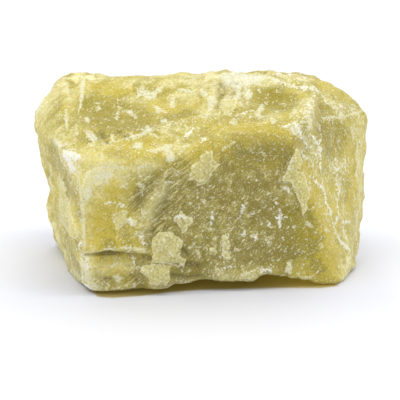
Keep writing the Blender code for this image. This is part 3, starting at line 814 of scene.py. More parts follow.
# %% Yellow and olive zones
YELLOW_ZONES = {
    "front_left": (5.5, [(100, 190), (102, 215), (100, 240)]),
    "low_left": (2.5, [(100, 262), (118, 262)]),
    "low_right": (2.0, [(322, 236), (322, 262)]),
    "chip_heart": (1.2, [(294, 168), (299, 175)]),
    "far_band": (1.8, [(292, 92), (306, 95)]),
    "flutes": (2.4, [(76, 88), (74, 108)]),
    "block_side": (0.8, [(236, 108), (241, 112)]),
    "wedge_side": (0.8, [(294, 113), (302, 122)]),
    "end_spot": (0.8, [(346, 228), (347, 236)]),
    "end_middle": (1.6, [(347, 192), (348, 214)]),
    "left_end_spot": (0.8, [(52, 192), (52, 203)]),
}
OLIVE_ZONES = {
    "front_left": (3.4, [(202, 196), (216, 216), (220, 240)]),
    "front_middle": (7.5, [(250, 165), (248, 200), (235, 230)]),
    "front_grooves": (2.4, [(148, 190), (160, 212), (166, 228)]),
    "crumbly_foot": (1.0, [(225, 91), (233, 92)]),
    "end_top": (1.4, [(314, 124), (322, 132)]),
    "column": (1.3, [(305, 124), (308, 148)]),
    "end_olive": (1.0, [(326, 130), (328, 150)]),
    "left_low": (2.2, [(68, 246), (72, 262), (76, 276)]),
    "left_dark": (1.2, [(56, 158), (66, 176), (72, 192)]),
    "plate_surround": (1.8, [(184, 256), (192, 268), (180, 278)]),
}
HIDDEN_ZONE_SIZE = 9.0 * MM
HIDDEN_ZONE_GAIN = 4.5
HIDDEN_ZONE_SEED = Vector((7.7, 3.3, 1.1))


def noise_at(size, seed):
    """Smooth noise, about -1 to 1, for each point of the skin."""
    return np.array([noise.noise(Vector(point) / size + seed) for point in points])


hidden_zone = HIDDEN_ZONE_GAIN * noise_at(HIDDEN_ZONE_SIZE, HIDDEN_ZONE_SEED) * away
yellow = np.maximum(stroke_field(YELLOW_ZONES), hidden_zone + FIELD_FLOOR * (1.0 - away))
olive = np.maximum(stroke_field(OLIVE_ZONES), -hidden_zone + FIELD_FLOOR * (1.0 - away))
print("zones:", len(YELLOW_ZONES), "yellow and", len(OLIVE_ZONES), "olive")

# %% Amber zones
AMBER_ZONES = {
    "end_spot": (0.8, [(345, 184), (346, 198)]),
    "band": (0.6, [(112, 153), (122, 157)]),
    "front_high": (0.9, [(238, 168), (250, 172)]),
    "front_top": (1.8, [(240, 152), (262, 151), (288, 158)]),
    "front_right": (2.4, [(288, 204), (298, 232), (286, 256)]),
    "above_ledge": (0.9, [(108, 244), (130, 243)]),
    "slab_front": (3.4, [(92, 106), (112, 122), (134, 122)]),
    "slab_middle": (1.7, [(118, 102), (132, 110), (144, 116)]),
    "slab_notches": (0.9, [(100, 136), (124, 134)]),
    # above_lip is painted shade in the dip above the lip.
    "above_lip": (1.4, [(86, 138), (100, 136), (118, 134), (138, 129), (160, 121), (190, 113)]),
    "scoop": (3.0, [(270, 94), (286, 106)]),
    "pocket": (1.9, [(319, 102), (325, 116)]),
    "low_right": (1.3, [(306, 216), (312, 234), (311, 256), (317, 268)]),
    "below_plate": (1.5, [(178, 270), (190, 272), (204, 276)]),
    "upper_left": (0.8, [(130, 182), (140, 178)]),
    "top_of_front": (1.7, [(234, 146), (250, 143), (275, 146)]),
    "pocket_slope": (1.2, [(342, 112), (352, 113)]),
    "end_amber": (2.5, [(334, 122), (340, 134), (336, 144)]),
    "block_amber": (0.9, [(236, 111), (242, 108)]),
}
amber = stroke_field(AMBER_ZONES)
print("amber zones:", len(AMBER_ZONES))

# %% Gold zones
GOLD_ZONES = {
    "band_f": (0.9, [(112, 158), (124, 160)]),
    "band_g": (1.1, [(114, 181), (128, 180)]),
    "front_left_high": (0.9, [(98, 196), (106, 190)]),
    "front_high": (2.2, [(200, 150), (230, 146), (262, 150), (288, 160)]),
    "band_a": (1.0, [(82, 158), (92, 163)]),
    "band_b": (1.3, [(108, 150), (124, 155)]),
    "band_c": (0.8, [(126, 163), (140, 162)]),
    "band_d": (0.9, [(145, 144), (160, 140)]),
    "band_e": (0.9, [(150, 157), (164, 155)]),
    "slab": (2.4, [(92, 86), (104, 92), (120, 92)]),
    "slab_right": (1.8, [(152, 108), (176, 108), (194, 108)]),
    "right_front": (3.0, [(314, 190), (322, 208), (328, 232)]),
    "front_left": (3.0, [(98, 198), (98, 215), (98, 240)]),
    "below_ledge": (1.2, [(96, 261), (128, 261)]),
    "low_right": (3.2, [(322, 232), (328, 252), (324, 270)]),
    "left_end_spot": (0.8, [(52, 192), (52, 203)]),
    "far_right": (1.4, [(300, 77), (322, 88), (340, 100)]),
    "crest": (2.4, [(222, 131), (250, 127), (284, 134)]),
    "chip_heart": (0.9, [(300, 156), (301, 166)]),
    "end_strip": (1.3, [(350, 150), (351, 180), (349, 215)]),
}
gold = stroke_field(GOLD_ZONES)
print("gold zones:", len(GOLD_ZONES))

# %% Milky zones
MILK_ZONES = {
    "lip_start": (0.7, [(100, 148), (112, 145)]),
    "chip_side": (0.6, [(282, 190), (286, 194)]),
    "far_seam": (0.9, [(212, 78), (222, 86)]),
    "crumbly_left": (0.8, [(222, 86), (228, 92)]),
    "pocket_head": (0.7, [(314, 94), (320, 96)]),
    "ledge_foot": (0.9, [(94, 272), (110, 268), (128, 267)]),
    "front_pale": (0.5, [(253, 177), (256, 180)]),
    "left_high_edge": (0.8, [(60, 131), (66, 144)]),
    "lip_band": (0.5, [(80, 151), (94, 149)]),
    "slab_top": (1.0, [(126, 82), (150, 82)]),
    "slab_spot": (0.8, [(132, 100), (138, 101)]),
    "lip_right": (0.7, [(166, 132), (178, 130)]),
    "band_end": (1.0, [(122, 170), (138, 169), (151, 165)]),
    "top_edge": (0.9, [(62, 78), (84, 77), (120, 76), (150, 76), (176, 74), (208, 73)]),
    "flute_foot": (0.9, [(70, 90), (70, 106)]),
    "seam": (0.9, [(212, 96), (213, 110)]),
    "left_low_edge": (1.0, [(70, 262), (78, 280)]),
    "left_corner_foot": (0.8, [(88, 256), (88, 268)]),
    "right_low_edge": (1.3, [(352, 256), (348, 272)]),
    "left_middle_edge": (1.3, [(48, 205), (53, 226), (60, 244), (66, 258)]),
    "band_low": (1.8, [(90, 186), (96, 177), (112, 171), (124, 173)]),
    "streak_foot": (1.3, [(87, 180), (88, 190), (88, 206)]),
    "far_rim": (1.3, [(280, 75), (306, 80)]),
    "far_rim_b": (0.7, [(304, 88), (314, 92)]),
    "slab_flutes": (0.8, [(78, 82), (82, 92)]),
    "slab_back": (1.4, [(178, 96), (192, 98)]),
    # ridge is a painted highlight on the lit side of the front ridge.
    "ridge": (1.5, [(164, 188), (158, 200), (152, 212), (148, 224)]),
    "left_edge": (1.2, [(76, 168), (82, 186), (85, 210), (85, 240), (84, 284)]),
    "rim_scale": (0.8, [(212, 275), (232, 276), (258, 275)]),
    "rim_edge": (0.5, [(150, 286), (172, 285), (206, 281), (236, 278), (270, 276)]),
    "band": (1.6, [(86, 160), (100, 166), (118, 166)]),
    "band_right": (0.7, [(168, 150), (180, 144)]),
    "left_foot": (1.2, [(88, 270), (90, 284)]),
    "slab_far": (1.2, [(160, 82), (190, 80), (212, 86)]),
    "slab_edge": (1.3, [(212, 84), (214, 98), (206, 112)]),
    "crumbly": (2.4, [(226, 77), (262, 79)]),
    "scoop_foot": (0.5, [(262, 117), (274, 117)]),
    "block": (1.3, [(226, 102), (236, 106)]),
    "pocket": (1.2, [(308, 100), (309, 120)]),
    "pocket_right": (1.2, [(330, 100), (338, 112)]),
    "shoulder": (0.7, [(336, 106), (356, 114)]),
    "end_edge": (1.0, [(360, 120), (361, 160), (358, 220)]),
    "left_top": (2.4, [(42, 112), (46, 100), (56, 88)]),
}
milk = stroke_field(MILK_ZONES)
print("milky zones:", len(MILK_ZONES))

# %% Cream zones
CREAM_ZONES = {
    "band_low": (0.9, [(91, 188), (97, 178), (105, 171)]),
    "left_foot": (0.9, [(88, 258), (89, 272)]),
    "left_end_edge": (0.8, [(54, 228), (59, 240), (64, 252)]),
    "slab_top_left": (0.8, [(78, 77), (90, 77)]),
    "far_rim": (0.9, [(284, 77), (302, 79)]),
    "slab_far": (0.9, [(205, 75), (216, 77)]),
    "right_foot_edge": (1.0, [(350, 260), (346, 270)]),
}
cream = stroke_field(CREAM_ZONES)
print("cream zones:", len(CREAM_ZONES))

# %% Dark zones: darker stone and painted shade
# Partly darker stone, and partly painted shade in hollows, grooves and notches and under the ledge, the crest
# and the plates.
DARK_AND_SHADE_ZONES = {
    "foot_plate": (1.0, [(156, 271), (160, 280)]),
    "tongue_side": (0.5, [(75, 198), (80, 216)]),
    "ledge_end": (0.5, [(150, 238), (150, 246)]),
    "ridge_head": (0.8, [(157, 178), (156, 188)]),
    "plate_left": (0.9, [(174, 272), (175, 282)]),
    "plate_right": (0.9, [(184, 250), (184, 258)]),
    "front_spot_d": (0.8, [(237, 248), (240, 258)]),
    "front_spot_e": (0.8, [(216, 184), (220, 194)]),
    "front_spot_a": (0.7, [(232, 224), (236, 228)]),
    "front_spot_c": (0.8, [(190, 213), (196, 219)]),
    "rim_spot": (1.1, [(270, 265), (284, 268)]),
    "ledge_box": (0.7, [(144, 258), (151, 259)]),
    "front_spot_b": (0.9, [(200, 188), (208, 196)]),
    "ledge_shade": (0.7, [(102, 257), (118, 256), (132, 257)]),
    "slab_notch_c": (0.4, [(136, 128), (142, 128)]),
    "chip_side": (0.7, [(280, 166), (275, 180)]),
    "front_low_right": (0.8, [(286, 222), (288, 238)]),
    "front_right": (1.0, [(272, 200), (280, 212)]),
    "front_low": (1.4, [(240, 244), (268, 250), (290, 254)]),
    "end_amber": (0.8, [(335, 124), (336, 138)]),
    "foot_left": (1.0, [(98, 280), (112, 284)]),
    "below_plate": (1.7, [(178, 270), (190, 272), (206, 276)]),
    "hatch": (0.9, [(141, 262), (139, 272), (142, 282)]),
    "groove_left": (0.5, [(144, 188), (141, 198), (138, 206)]),
    "groove_right": (0.7, [(172, 186), (167, 198), (162, 210), (156, 230)]),
    "left_end_high": (1.0, [(58, 160), (68, 178), (75, 196)]),
    "left_end_low": (1.4, [(73, 243), (74, 262), (78, 274)]),
    "slab_notch_a": (0.5, [(100, 134), (103, 140)]),
    "slab_notch_b": (0.5, [(121, 132), (126, 135)]),
    "under_crest": (1.4, [(244, 150), (264, 150), (284, 156)]),
    "front_heart": (1.6, [(246, 190), (262, 200), (266, 214)]),
    "end_high": (1.0, [(324, 126), (328, 146)]),
    "column": (0.8, [(304, 130), (306, 146)]),
    "pocket_core": (0.7, [(320, 108), (323, 114)]),
    "lower_seam": (0.8, [(222, 262), (262, 260)]),
}
dark = stroke_field(DARK_AND_SHADE_ZONES)
print("dark zones:", len(DARK_AND_SHADE_ZONES))

# %% [markdown]
# ## Relief
# A broken stone is not bumpy all over: it has small flat flakes with crisp steps between them. Rounding a
# smooth noise to whole steps, with a narrow riser, gives just that. Plates stand proud, frost is grainy and
# cracks are cut in. The hidden sides have broad shallow breaks as well. Everything fades out at the foot, so
# the stone still stands flat.

# %% Noises for the relief
FLAKE_SIZE = 2.4 * MM
FLAKE_LEVELS = 3.2
FLAKE_RISER = 0.2
FLAKE_SEED = Vector((3.1, 8.7, 5.3))
BREAK_SIZE = 7.0 * MM
BREAK_LEVELS = 3.0
BREAK_RISER = 0.1
BREAK_SEED = Vector((2.2, 6.1, 4.4))
GRAIN_SIZE = 0.7 * MM
GRAIN_SEED = Vector((11.0, 2.0, 7.0))
CRUMB_SIZE = 1.5 * MM
CRUMB_SEED = Vector((5.5, 1.5, 9.5))


def stepped(values, riser):
    """The values rounded down to whole steps, with a riser that is a share of a step wide."""
    whole = np.floor(values)
    return whole + ease((values - whole - (1.0 - riser)) / riser)


flakes = stepped(noise_at(FLAKE_SIZE, FLAKE_SEED) * FLAKE_LEVELS, FLAKE_RISER)
breaks = stepped(noise_at(BREAK_SIZE, BREAK_SEED) * BREAK_LEVELS, BREAK_RISER)
grain = noise_at(GRAIN_SIZE, GRAIN_SEED)
crumbs = noise_at(CRUMB_SIZE, CRUMB_SEED)
print("flake levels from", round(flakes.min(), 1), "to", round(flakes.max(), 1))

# %% Heights of the marks
FLAKE_STEP = 0.1
BREAK_STEP = 0.14
GRAIN_HEIGHT = 0.05
PLATE_HEIGHT = 0.28
PLATE_RISER = 0.3
SHELF_HEIGHT = 0.15
BRUISE_HEIGHT = 0.07
BRUISE_RISER = 0.25
FROST_HEIGHT = 0.05
FROST_CRUMBS = 0.1
FROST_RISER = 1.5
LINE_HEIGHT = 0.13
LINE_RISER = 0.3
LINE_START = 0.3
LINE_FRAY = 1.3
CRACK_DEPTH = 0.4
CRACK_WIDTH = 0.45
CRACK_FRAY = 0.3
RIM_FRAY = 0.3
FRAY_PARTS = (0.6, 0.4)
PLATE_RIM_FRAY = 0.5
FROST_GRAIN = 0.5


def rise(field, riser, start=0.5):
    """0 to 1 across the rim of a field, over a riser in mm. At the rim it is at its start."""
    return ease(field / riser + start)


fray = RIM_FRAY * (FRAY_PARTS[0] * grain + FRAY_PARTS[1] * crumbs)
frosted = np.maximum(rise(frost_zone, FROST_RISER), rise(frost_line, LINE_RISER))
height = FLAKE_STEP * flakes + GRAIN_HEIGHT * grain
height += PLATE_HEIGHT * rise(plate + PLATE_RIM_FRAY * fray, PLATE_RISER)
height += BRUISE_HEIGHT * rise(bruise + fray, BRUISE_RISER, 0.0)
height += frosted * (FROST_HEIGHT + FROST_CRUMBS * (crumbs + FROST_GRAIN * grain))
height += SHELF_HEIGHT * rise(shelf + PLATE_RIM_FRAY * fray, PLATE_RISER)
height += BREAK_STEP * away * breaks
height += LINE_HEIGHT * rise(frost_line + LINE_FRAY * fray, LINE_RISER, LINE_START)
height -= CRACK_DEPTH * ease(crack / CRACK_WIDTH + CRACK_FRAY * fray)
print("height of the relief from", round(height.min(), 2), "to", round(height.max(), 2), "mm")

# %% Moving the skin along its normals
FOOT_FADE = 1.2 * MM
FOOT_FLAT = 0.12 * MM

height *= ease(points[:, 2] / FOOT_FADE)
moved = points + normals * height[:, None] * MM
moved[points[:, 2] < FOOT_FLAT, 2] = 0.0
moved = np.clip(moved, CAD_BOX[0], CAD_BOX[1])
skin.data.vertices.foreach_set("co", moved.astype(np.float32).ravel())
print("the skin moved by up to", round(float(np.abs(moved - points).max()) / MM, 2), "mm along an axis")

# %% [markdown]
# ## The floor
# The floor is white paper. Under the overhanging front rim lies a narrow olive-brown shade, painted into the
# paper's colour. Jadeite lets some yellow light through, so the painted shade is tinted and has a faint painted
# glow in the paper's emission, most of all at its right. Its outline is laid on the paper as the camera sees
# it. Near the stone the paper takes a painted cool, slightly darker shade. The floor's grid is fine near the
# stone and coarse far away.

# %% The floor's mesh
FLOOR_CELLS = 300
FLOOR_NEAR = 0.05
FLOOR_REACH = 2.5
FLOOR_FALL = 15

grid = bmesh.new()
bmesh.ops.create_grid(grid, x_segments=FLOOR_CELLS, y_segments=FLOOR_CELLS, size=1.0)
for corner in grid.verts:
    for axis in (0, 1):
        share = corner.co[axis]
        corner.co[axis] = FLOOR_NEAR * share + math.copysign(FLOOR_REACH * abs(share) ** FLOOR_FALL, share)
floor_mesh = bpy.data.meshes.new("floor")
grid.to_mesh(floor_mesh)
grid.free()
floor_points = coordinates(floor_mesh, "co")
floor = bpy.data.objects.new("floor", floor_mesh)
bpy.context.scene.collection.objects.link(floor)
paper_only.objects.link(floor)
print("floor:", len(floor_points), "points, out to", round(float(floor_points.max()), 2), "m")

# %% The painted shade under the front rim
SHADE_OUTLINE = np.array([(90, 288), (98, 297), (112, 298), (140, 296), (170, 292), (200, 290), (230, 289),
                          (265, 288), (300, 288), (322, 288), (338, 286), (330, 262), (110, 262)], float)
SHADE_SOFTNESS = 0.3
GLOW_RISES = (255, 305)
GLOW_MOST = 2.2
NEAR_REACH = 9.0 * MM


def keep_field(mesh, name, values):
    """A value for each point of a mesh, kept as an attribute that its material can read."""
    mesh.attributes.new(name, "FLOAT", "POINT").data.foreach_set("value", values.astype(np.float32))


floor_pixels, floor_mm = pixels_of(floor_points)
in_shade = ease(depth_inside(SHADE_OUTLINE, floor_pixels, floor_mm) / SHADE_SOFTNESS + 0.5)
# The paper behind the camera has no pixel, and its millimetres come out below 0
in_shade = np.where(floor_mm > 0.0, in_shade, 0.0)
beside = np.maximum(np.abs(floor_points[:, :2]) - np.array(CAD_BOX[1][:2]), 0.0)
# shade and glow are painted on the paper: a painted shadow in its colour and painted light in its emission.
keep_field(floor_mesh, "shade", in_shade)
keep_field(floor_mesh, "glow", in_shade * np.interp(floor_pixels[:, 0], GLOW_RISES, (1.0, GLOW_MOST)))
# near: how much of the painted cool shade the paper takes close to the stone.
keep_field(floor_mesh, "near", np.exp(-np.linalg.norm(beside, axis=1) / NEAR_REACH))
print("floor points in the shade:", int((in_shade > 0).sum()), "of", len(in_shade))

# %% White paper
PAPER_COLOR = (0.93, 0.935, 0.955, 1.0)
# The paper close to the stone is painted a cooler, slightly darker shade.
NEAR_SHADE_COLOR = (0.87, 0.885, 0.98, 1.0)
# The shadow under the rim is painted into the paper's colour, and its glow is painted light.
SHADE_COLOR = (0.40, 0.33, 0.14, 1.0)
SHADE_GLOW = (0.058, 0.042, 0.005, 1.0)
PAPER_ROUGHNESS = 0.9
PAPER_SHINE = 0.2


def kept_field(tree, name):
    """The socket of an attribute of the mesh."""
    node = tree.nodes.new("ShaderNodeAttribute")
    node.attribute_name = name
    return node.outputs["Fac"]


def mixed(tree, base, tint, mask):
    """Base mixed towards a tint by a mask. A Mix node has its colour sockets last, under the same names."""
    node = tree.nodes.new("ShaderNodeMix")
    node.data_type = "RGBA"
    tree.links.new(mask, node.inputs["Factor"])
    for socket, value in zip([s for s in node.inputs if s.type == "RGBA"], (base, tint)):
        if isinstance(value, tuple):
            socket.default_value = value
        else:
            tree.links.new(value, socket)
    return next(s for s in node.outputs if s.type == "RGBA")


paper = bpy.data.materials.new("white_paper")
paper.use_nodes = True
paper_nodes = paper.node_tree
paper_finish = paper_nodes.nodes["Principled BSDF"]
paper_finish.inputs["Roughness"].default_value = PAPER_ROUGHNESS
paper_finish.inputs["Specular IOR Level"].default_value = PAPER_SHINE
# Emission paints the glow of the painted shade.
paper_finish.inputs["Emission Color"].default_value = SHADE_GLOW
paper_nodes.links.new(kept_field(paper_nodes, "glow"), paper_finish.inputs["Emission Strength"])
paper_tone = mixed(paper_nodes, PAPER_COLOR, NEAR_SHADE_COLOR, kept_field(paper_nodes, "near"))
paper_tone = mixed(paper_nodes, paper_tone, SHADE_COLOR, kept_field(paper_nodes, "shade"))
paper_nodes.links.new(paper_tone, paper_finish.inputs["Base Color"])
floor_mesh.materials.append(paper)
print("paper is", PAPER_COLOR[:3], "and turns to", NEAR_SHADE_COLOR[:3], "near the stone")

# %% Keeping the fields on the skin
fields = {
    "plate": plate, "bruise": bruise, "crack": crack, "groove": groove, "edge": edge,
    "frost_line": frost_line, "thin_line": thin_line, "frost_zone": frost_zone,
    "yellow": yellow, "olive": olive, "amber": amber, "gold": gold, "milk": milk, "cream": cream,
    "dark": dark, "end": np.abs(normals[:, 0]), "top": normals[:, 2],
}
for name, field in fields.items():
    keep_field(skin.data, name, field)
skin.data.shade_smooth()
skin.data.update()
print("attributes:", ", ".join(fields))

# %% [markdown]
# ## A frayed mask
# Plates, bruises, frost lines and cracks all need the same thing: a field turned to a mask with a ragged
# rim. Noise is added to the field before it is cut off, so the rim frays where the field is near 0. It is
# one node group, used for every kind of mark with its own fray in millimetres.

# %% The frayed mask group
NOISE_MIDDLE = 0.5
GROUP_INPUTS = {"Field": 0.0, "Noise": NOISE_MIDDLE, "Fray": 1.0, "Softness": 0.1}

fraying = bpy.data.node_groups.new("frayed_mask", "ShaderNodeTree")
for name, preset in GROUP_INPUTS.items():
    fraying.interface.new_socket(name, in_out="INPUT", socket_type="NodeSocketFloat").default_value = preset
fraying.interface.new_socket("Mask", in_out="OUTPUT", socket_type="NodeSocketFloat")


def math_node(tree, operation, first, second=0.0, clamp=False):
    """A Math node whose inputs are sockets or numbers."""
    node = tree.nodes.new("ShaderNodeMath")
    node.operation = operation
    node.use_clamp = clamp
    for socket, value in zip(node.inputs, (first, second)):
        if isinstance(value, (int, float)):
            socket.default_value = value
        else:
            tree.links.new(value, socket)
    return node.outputs[0]


given = fraying.nodes.new("NodeGroupInput").outputs
centred = math_node(fraying, "SUBTRACT", given["Noise"], NOISE_MIDDLE)
ragged = math_node(fraying, "ADD", given["Field"], math_node(fraying, "MULTIPLY", centred, given["Fray"]))
masked = math_node(fraying, "DIVIDE", ragged, given["Softness"], clamp=True)
fraying.links.new(masked, fraying.nodes.new("NodeGroupOutput").inputs["Mask"])
print("group", fraying.name, "takes", ", ".join(GROUP_INPUTS))

# %% [markdown]
# ## The jadeite
# Rough jadeite is waxy: light enters, scatters and comes out again, so its shadows are soft and warm. It is
# a felt of small prisms, and each prism end that was broken shows as a pale fleck. Stretched noises make the
# grain of the front, the top and the ends, round ones make crumbs and dust, and scattered cells make the
# crisp dashes that lie along the grain. All of them follow the stone's own coordinates.

# %% Noise and cells on the stone's own coordinates
jadeite = bpy.data.materials.new("raw_jadeite")
jadeite.use_nodes = True
nodes = jadeite.node_tree
finish = nodes.nodes["Principled BSDF"]
place = nodes.nodes.new("ShaderNodeTexCoord").outputs["Object"]


def stretched(feature_mm, slant, swing):
    """The stone's coordinates, turned and stretched so that a feature of a given size is 1 unit long."""
    mapping = nodes.nodes.new("ShaderNodeMapping")
    mapping.vector_type = "TEXTURE"
    mapping.inputs["Rotation"].default_value = (0.0, slant, swing)
    mapping.inputs["Scale"].default_value = [size * MM for size in feature_mm]
    nodes.links.new(place, mapping.inputs["Vector"])
    return mapping.outputs["Vector"]


def pattern(feature_mm, detail, rough=0.5, slant=0.0, swing=0.0):
    """Noise with features of a given size along its three axes."""
    texture = nodes.nodes.new("ShaderNodeTexNoise")
    texture.inputs["Scale"].default_value = 1.0
    texture.inputs["Detail"].default_value = detail
    texture.inputs["Roughness"].default_value = rough
    nodes.links.new(stretched(feature_mm, slant, swing), texture.inputs["Vector"])
    return texture.outputs["Fac"]


def dashes(cell_mm, slant, swing):
    """The distance to the middle of a cell, and a random number for each cell."""
    cells = nodes.nodes.new("ShaderNodeTexVoronoi")
    cells.inputs["Scale"].default_value = 1.0
    nodes.links.new(stretched(cell_mm, slant, swing), cells.inputs["Vector"])
    parts = nodes.nodes.new("ShaderNodeSeparateColor")
    nodes.links.new(cells.outputs["Color"], parts.inputs["Color"])
    return cells.outputs["Distance"], parts.outputs["Red"]


print("material", jadeite.name, "reads object coordinates")

# %% Noises for the material
FLECK_SLANT = math.radians(-45.0)
FLECK_SWING = math.radians(15.0)
TOP_SWING = math.radians(-18.0)
GROOVE_SLANT = math.radians(-40.0)
FLECK_STRETCH = (0.75, 0.3, 0.24)
TOP_STRETCH = (0.3, 1.8, 0.3)
GROOVE_STRETCH = (3.0, 0.6, 0.28)
STREAK_STRETCH = (0.45, 0.4, 1.9)
FRONT_CELLS = (1.5, 0.6, 0.6)
TOP_CELLS = (0.6, 3.0, 0.6)
CURL_STRETCH = (0.6, 0.6, 0.6)
DUST_STRETCH = (0.2, 0.2, 0.2)
CRUMB_STRETCH = (0.36, 0.36, 0.36)
BLOT_STRETCH = (1.5, 1.5, 1.5)
CLOUD_STRETCH = (6.0, 6.0, 6.0)

fleck = pattern(FLECK_STRETCH, 2.0, 0.6, FLECK_SLANT, FLECK_SWING)
top_fleck = pattern(TOP_STRETCH, 2.0, 0.6, 0.0, TOP_SWING)
striation = pattern(GROOVE_STRETCH, 2.0, 0.5, GROOVE_SLANT)
streak = pattern(STREAK_STRETCH, 3.0, 0.6)
front_dash, front_chance = dashes(FRONT_CELLS, FLECK_SLANT, 0.0)
top_dash, top_chance = dashes(TOP_CELLS, 0.0, TOP_SWING)
curl = pattern(CURL_STRETCH, 1.0)
dust = pattern(DUST_STRETCH, 2.0)
crumb = pattern(CRUMB_STRETCH, 2.0, 0.55)
blot = pattern(BLOT_STRETCH, 6.0, 0.65)
cloud = pattern(CLOUD_STRETCH, 4.0)
print("the patterns take", len(nodes.nodes), "nodes")

# %% Sums and products of masks
def times(first, second):
    """The product of two values."""
    return math_node(nodes, "MULTIPLY", first, second)


def plus(first, second, clamp=False):
    """The sum of two values."""
    return math_node(nodes, "ADD", first, second, clamp)


def minus(first, second, clamp=False):
    """The first value less the second."""
    return math_node(nodes, "SUBTRACT", first, second, clamp)


def spread(limits, value):
    """A value spread softly, so that the first limit becomes 0 and the second becomes 1."""
    node = nodes.nodes.new("ShaderNodeMapRange")
    node.interpolation_type = "SMOOTHSTEP"
    node.inputs["From Min"].default_value = limits[0]
    node.inputs["From Max"].default_value = limits[1]
    nodes.links.new(value, node.inputs["Value"])
    return node.outputs["Result"]


def blended(first, second, share):
    """One value turning into another."""
    node = nodes.nodes.new("ShaderNodeMix")
    for name, value in {"Factor": share, "A": first, "B": second}.items():
        nodes.links.new(value, node.inputs[name])
    return node.outputs["Result"]


print("sums and products of masks are Math nodes of", jadeite.name)

# %% Fields of the skin as masks and tints
FACING_LIMITS = (0.5, 0.8)


def skin_field(name):
    """A field of the skin, in mm, or how far its normal points a given way."""
    return kept_field(nodes, name)


def tinted(base, tint, mask):
    """A colour of the stone mixed towards a tint by a mask."""
    return mixed(nodes, base, tint, mask)


def frayed(name, rim_noise, fray_mm, soft_mm):
    """The mask of a field, with a ragged rim."""
    node = nodes.nodes.new("ShaderNodeGroup")
    node.node_tree = fraying
    nodes.links.new(skin_field(name), node.inputs["Field"])
    nodes.links.new(rim_noise, node.inputs["Noise"])
    node.inputs["Fray"].default_value = fray_mm
    node.inputs["Softness"].default_value = soft_mm
    return node.outputs["Mask"]


on_top = spread(FACING_LIMITS, skin_field("top"))
on_end = spread(FACING_LIMITS, skin_field("end"))
print("a face counts as top or end from", FACING_LIMITS[0], "to", FACING_LIMITS[1], "of its normal")

# %% Base colour, from olive to yellow
GREY_OLIVE = (0.275, 0.225, 0.04, 1.0)
DEEP_YELLOW = (0.64, 0.53, 0.085, 1.0)
MILKY_YELLOW = (0.72, 0.64, 0.20, 1.0)
TONE_LIFT = 0.3
CLOUD_LIMITS = (0.3, 0.7)
CLOUD_SHARE = 0.45
YELLOW_RIM = (-1.5, 1.5)
YELLOW_SHARE = 0.4
OLIVE_RIM = (-2.8, 2.4)
OLIVE_SHARE = 0.95
BLOT_LIMITS = (0.42, 0.66)
BLOT_SHARE = 0.42
ZONE_FRAY = 9.0

wander = times(minus(blot, NOISE_MIDDLE), ZONE_FRAY)
yellow_part = times(spread(YELLOW_RIM, plus(skin_field("yellow"), wander)), YELLOW_SHARE)
olive_part = times(spread(OLIVE_RIM, plus(skin_field("olive"), wander)), OLIVE_SHARE)
tone = plus(plus(times(spread(CLOUD_LIMITS, cloud), CLOUD_SHARE), yellow_part), TONE_LIFT)
color = tinted(GREY_OLIVE, DEEP_YELLOW, minus(tone, olive_part, clamp=True))
color = tinted(color, MILKY_YELLOW, times(spread(BLOT_LIMITS, blot), BLOT_SHARE))
print("base colour runs from", GREY_OLIVE[:3], "to", DEEP_YELLOW[:3])

# %% [markdown]
# The other zones are laid over that base one after the other. Each has its tint, its strength, the depths in
# millimetres at which it starts and is full, and how far its rim wanders with the blots.

# %% Zones of colour in the material
GOLD = (0.56, 0.44, 0.045, 1.0)
AMBER = (0.31, 0.25, 0.015, 1.0)
MILK = (0.78, 0.71, 0.34, 1.0)
CREAM = (0.96, 0.90, 0.50, 1.0)
DARK_OLIVE_AND_SHADE = (0.235, 0.19, 0.035, 1.0)
ZONE_LOOKS = {
    "gold": (GOLD, 0.8, (-1.6, 1.6), 1.0),
    "amber": (AMBER, 0.9, (-1.2, 1.4), 1.0),
    "milk": (MILK, 0.65, (-1.2, 1.4), 0.7),
    "cream": (CREAM, 0.75, (-1.2, 1.4), 0.7),
    # The dark zones are partly painted shade.
    "dark": (DARK_OLIVE_AND_SHADE, 0.6, (-1.2, 1.2), 0.7),
}

zone_share = {}
for zone, (tint, strength, rim, wandering) in ZONE_LOOKS.items():
    zone_share[zone] = spread(rim, plus(skin_field(zone), times(wander, wandering)))
    color = tinted(color, tint, times(zone_share[zone], strength))
print("zones:", ", ".join(ZONE_LOOKS))

# %% Ribs in the grooves and streaks on the ends, with painted shade, highlights and sheen
PAINTED_END_SHEEN = (0.80, 0.77, 0.50, 1.0)
GROOVE_RIM = (-0.8, 0.8)
RIB_SHADE = (0.56, 0.42)
RIB_SHADE_SHARE = 0.6
RIB_HIGHLIGHT = (0.55, 0.64)
RIB_HIGHLIGHT_SHARE = 0.65
CRUMB_LOW = (0.5, 0.3)
CRUMB_LOW_SHARE = 0.4
END_LIMITS = (0.5, 0.9)
STREAK_LOW = (0.54, 0.4)
STREAK_LOW_SHARE = 0.7
PAINTED_END_SHEEN_SHARE = 0.12

grooved = spread(GROOVE_RIM, skin_field("groove"))
end_share = spread(END_LIMITS, skin_field("end"))
# Painted shade in the hollows of the ribs and a painted highlight on their crests.
color = tinted(color, DARK_OLIVE_AND_SHADE, times(times(grooved, spread(RIB_SHADE, striation)), RIB_SHADE_SHARE))
color = tinted(color, MILK, times(times(grooved, spread(RIB_HIGHLIGHT, striation)), RIB_HIGHLIGHT_SHARE))
color = tinted(color, DARK_OLIVE_AND_SHADE, times(spread(CRUMB_LOW, crumb), CRUMB_LOW_SHARE))
color = tinted(color, GOLD, times(times(end_share, spread(STREAK_LOW, streak)), STREAK_LOW_SHARE))
# The ends get a painted sheen: every face that points to either end is paled evenly.
color = tinted(color, PAINTED_END_SHEEN, times(end_share, PAINTED_END_SHEEN_SHARE))
print("ribs are tinted by", RIB_SHADE_SHARE, "in their hollows and", RIB_HIGHLIGHT_SHARE, "on their crests")

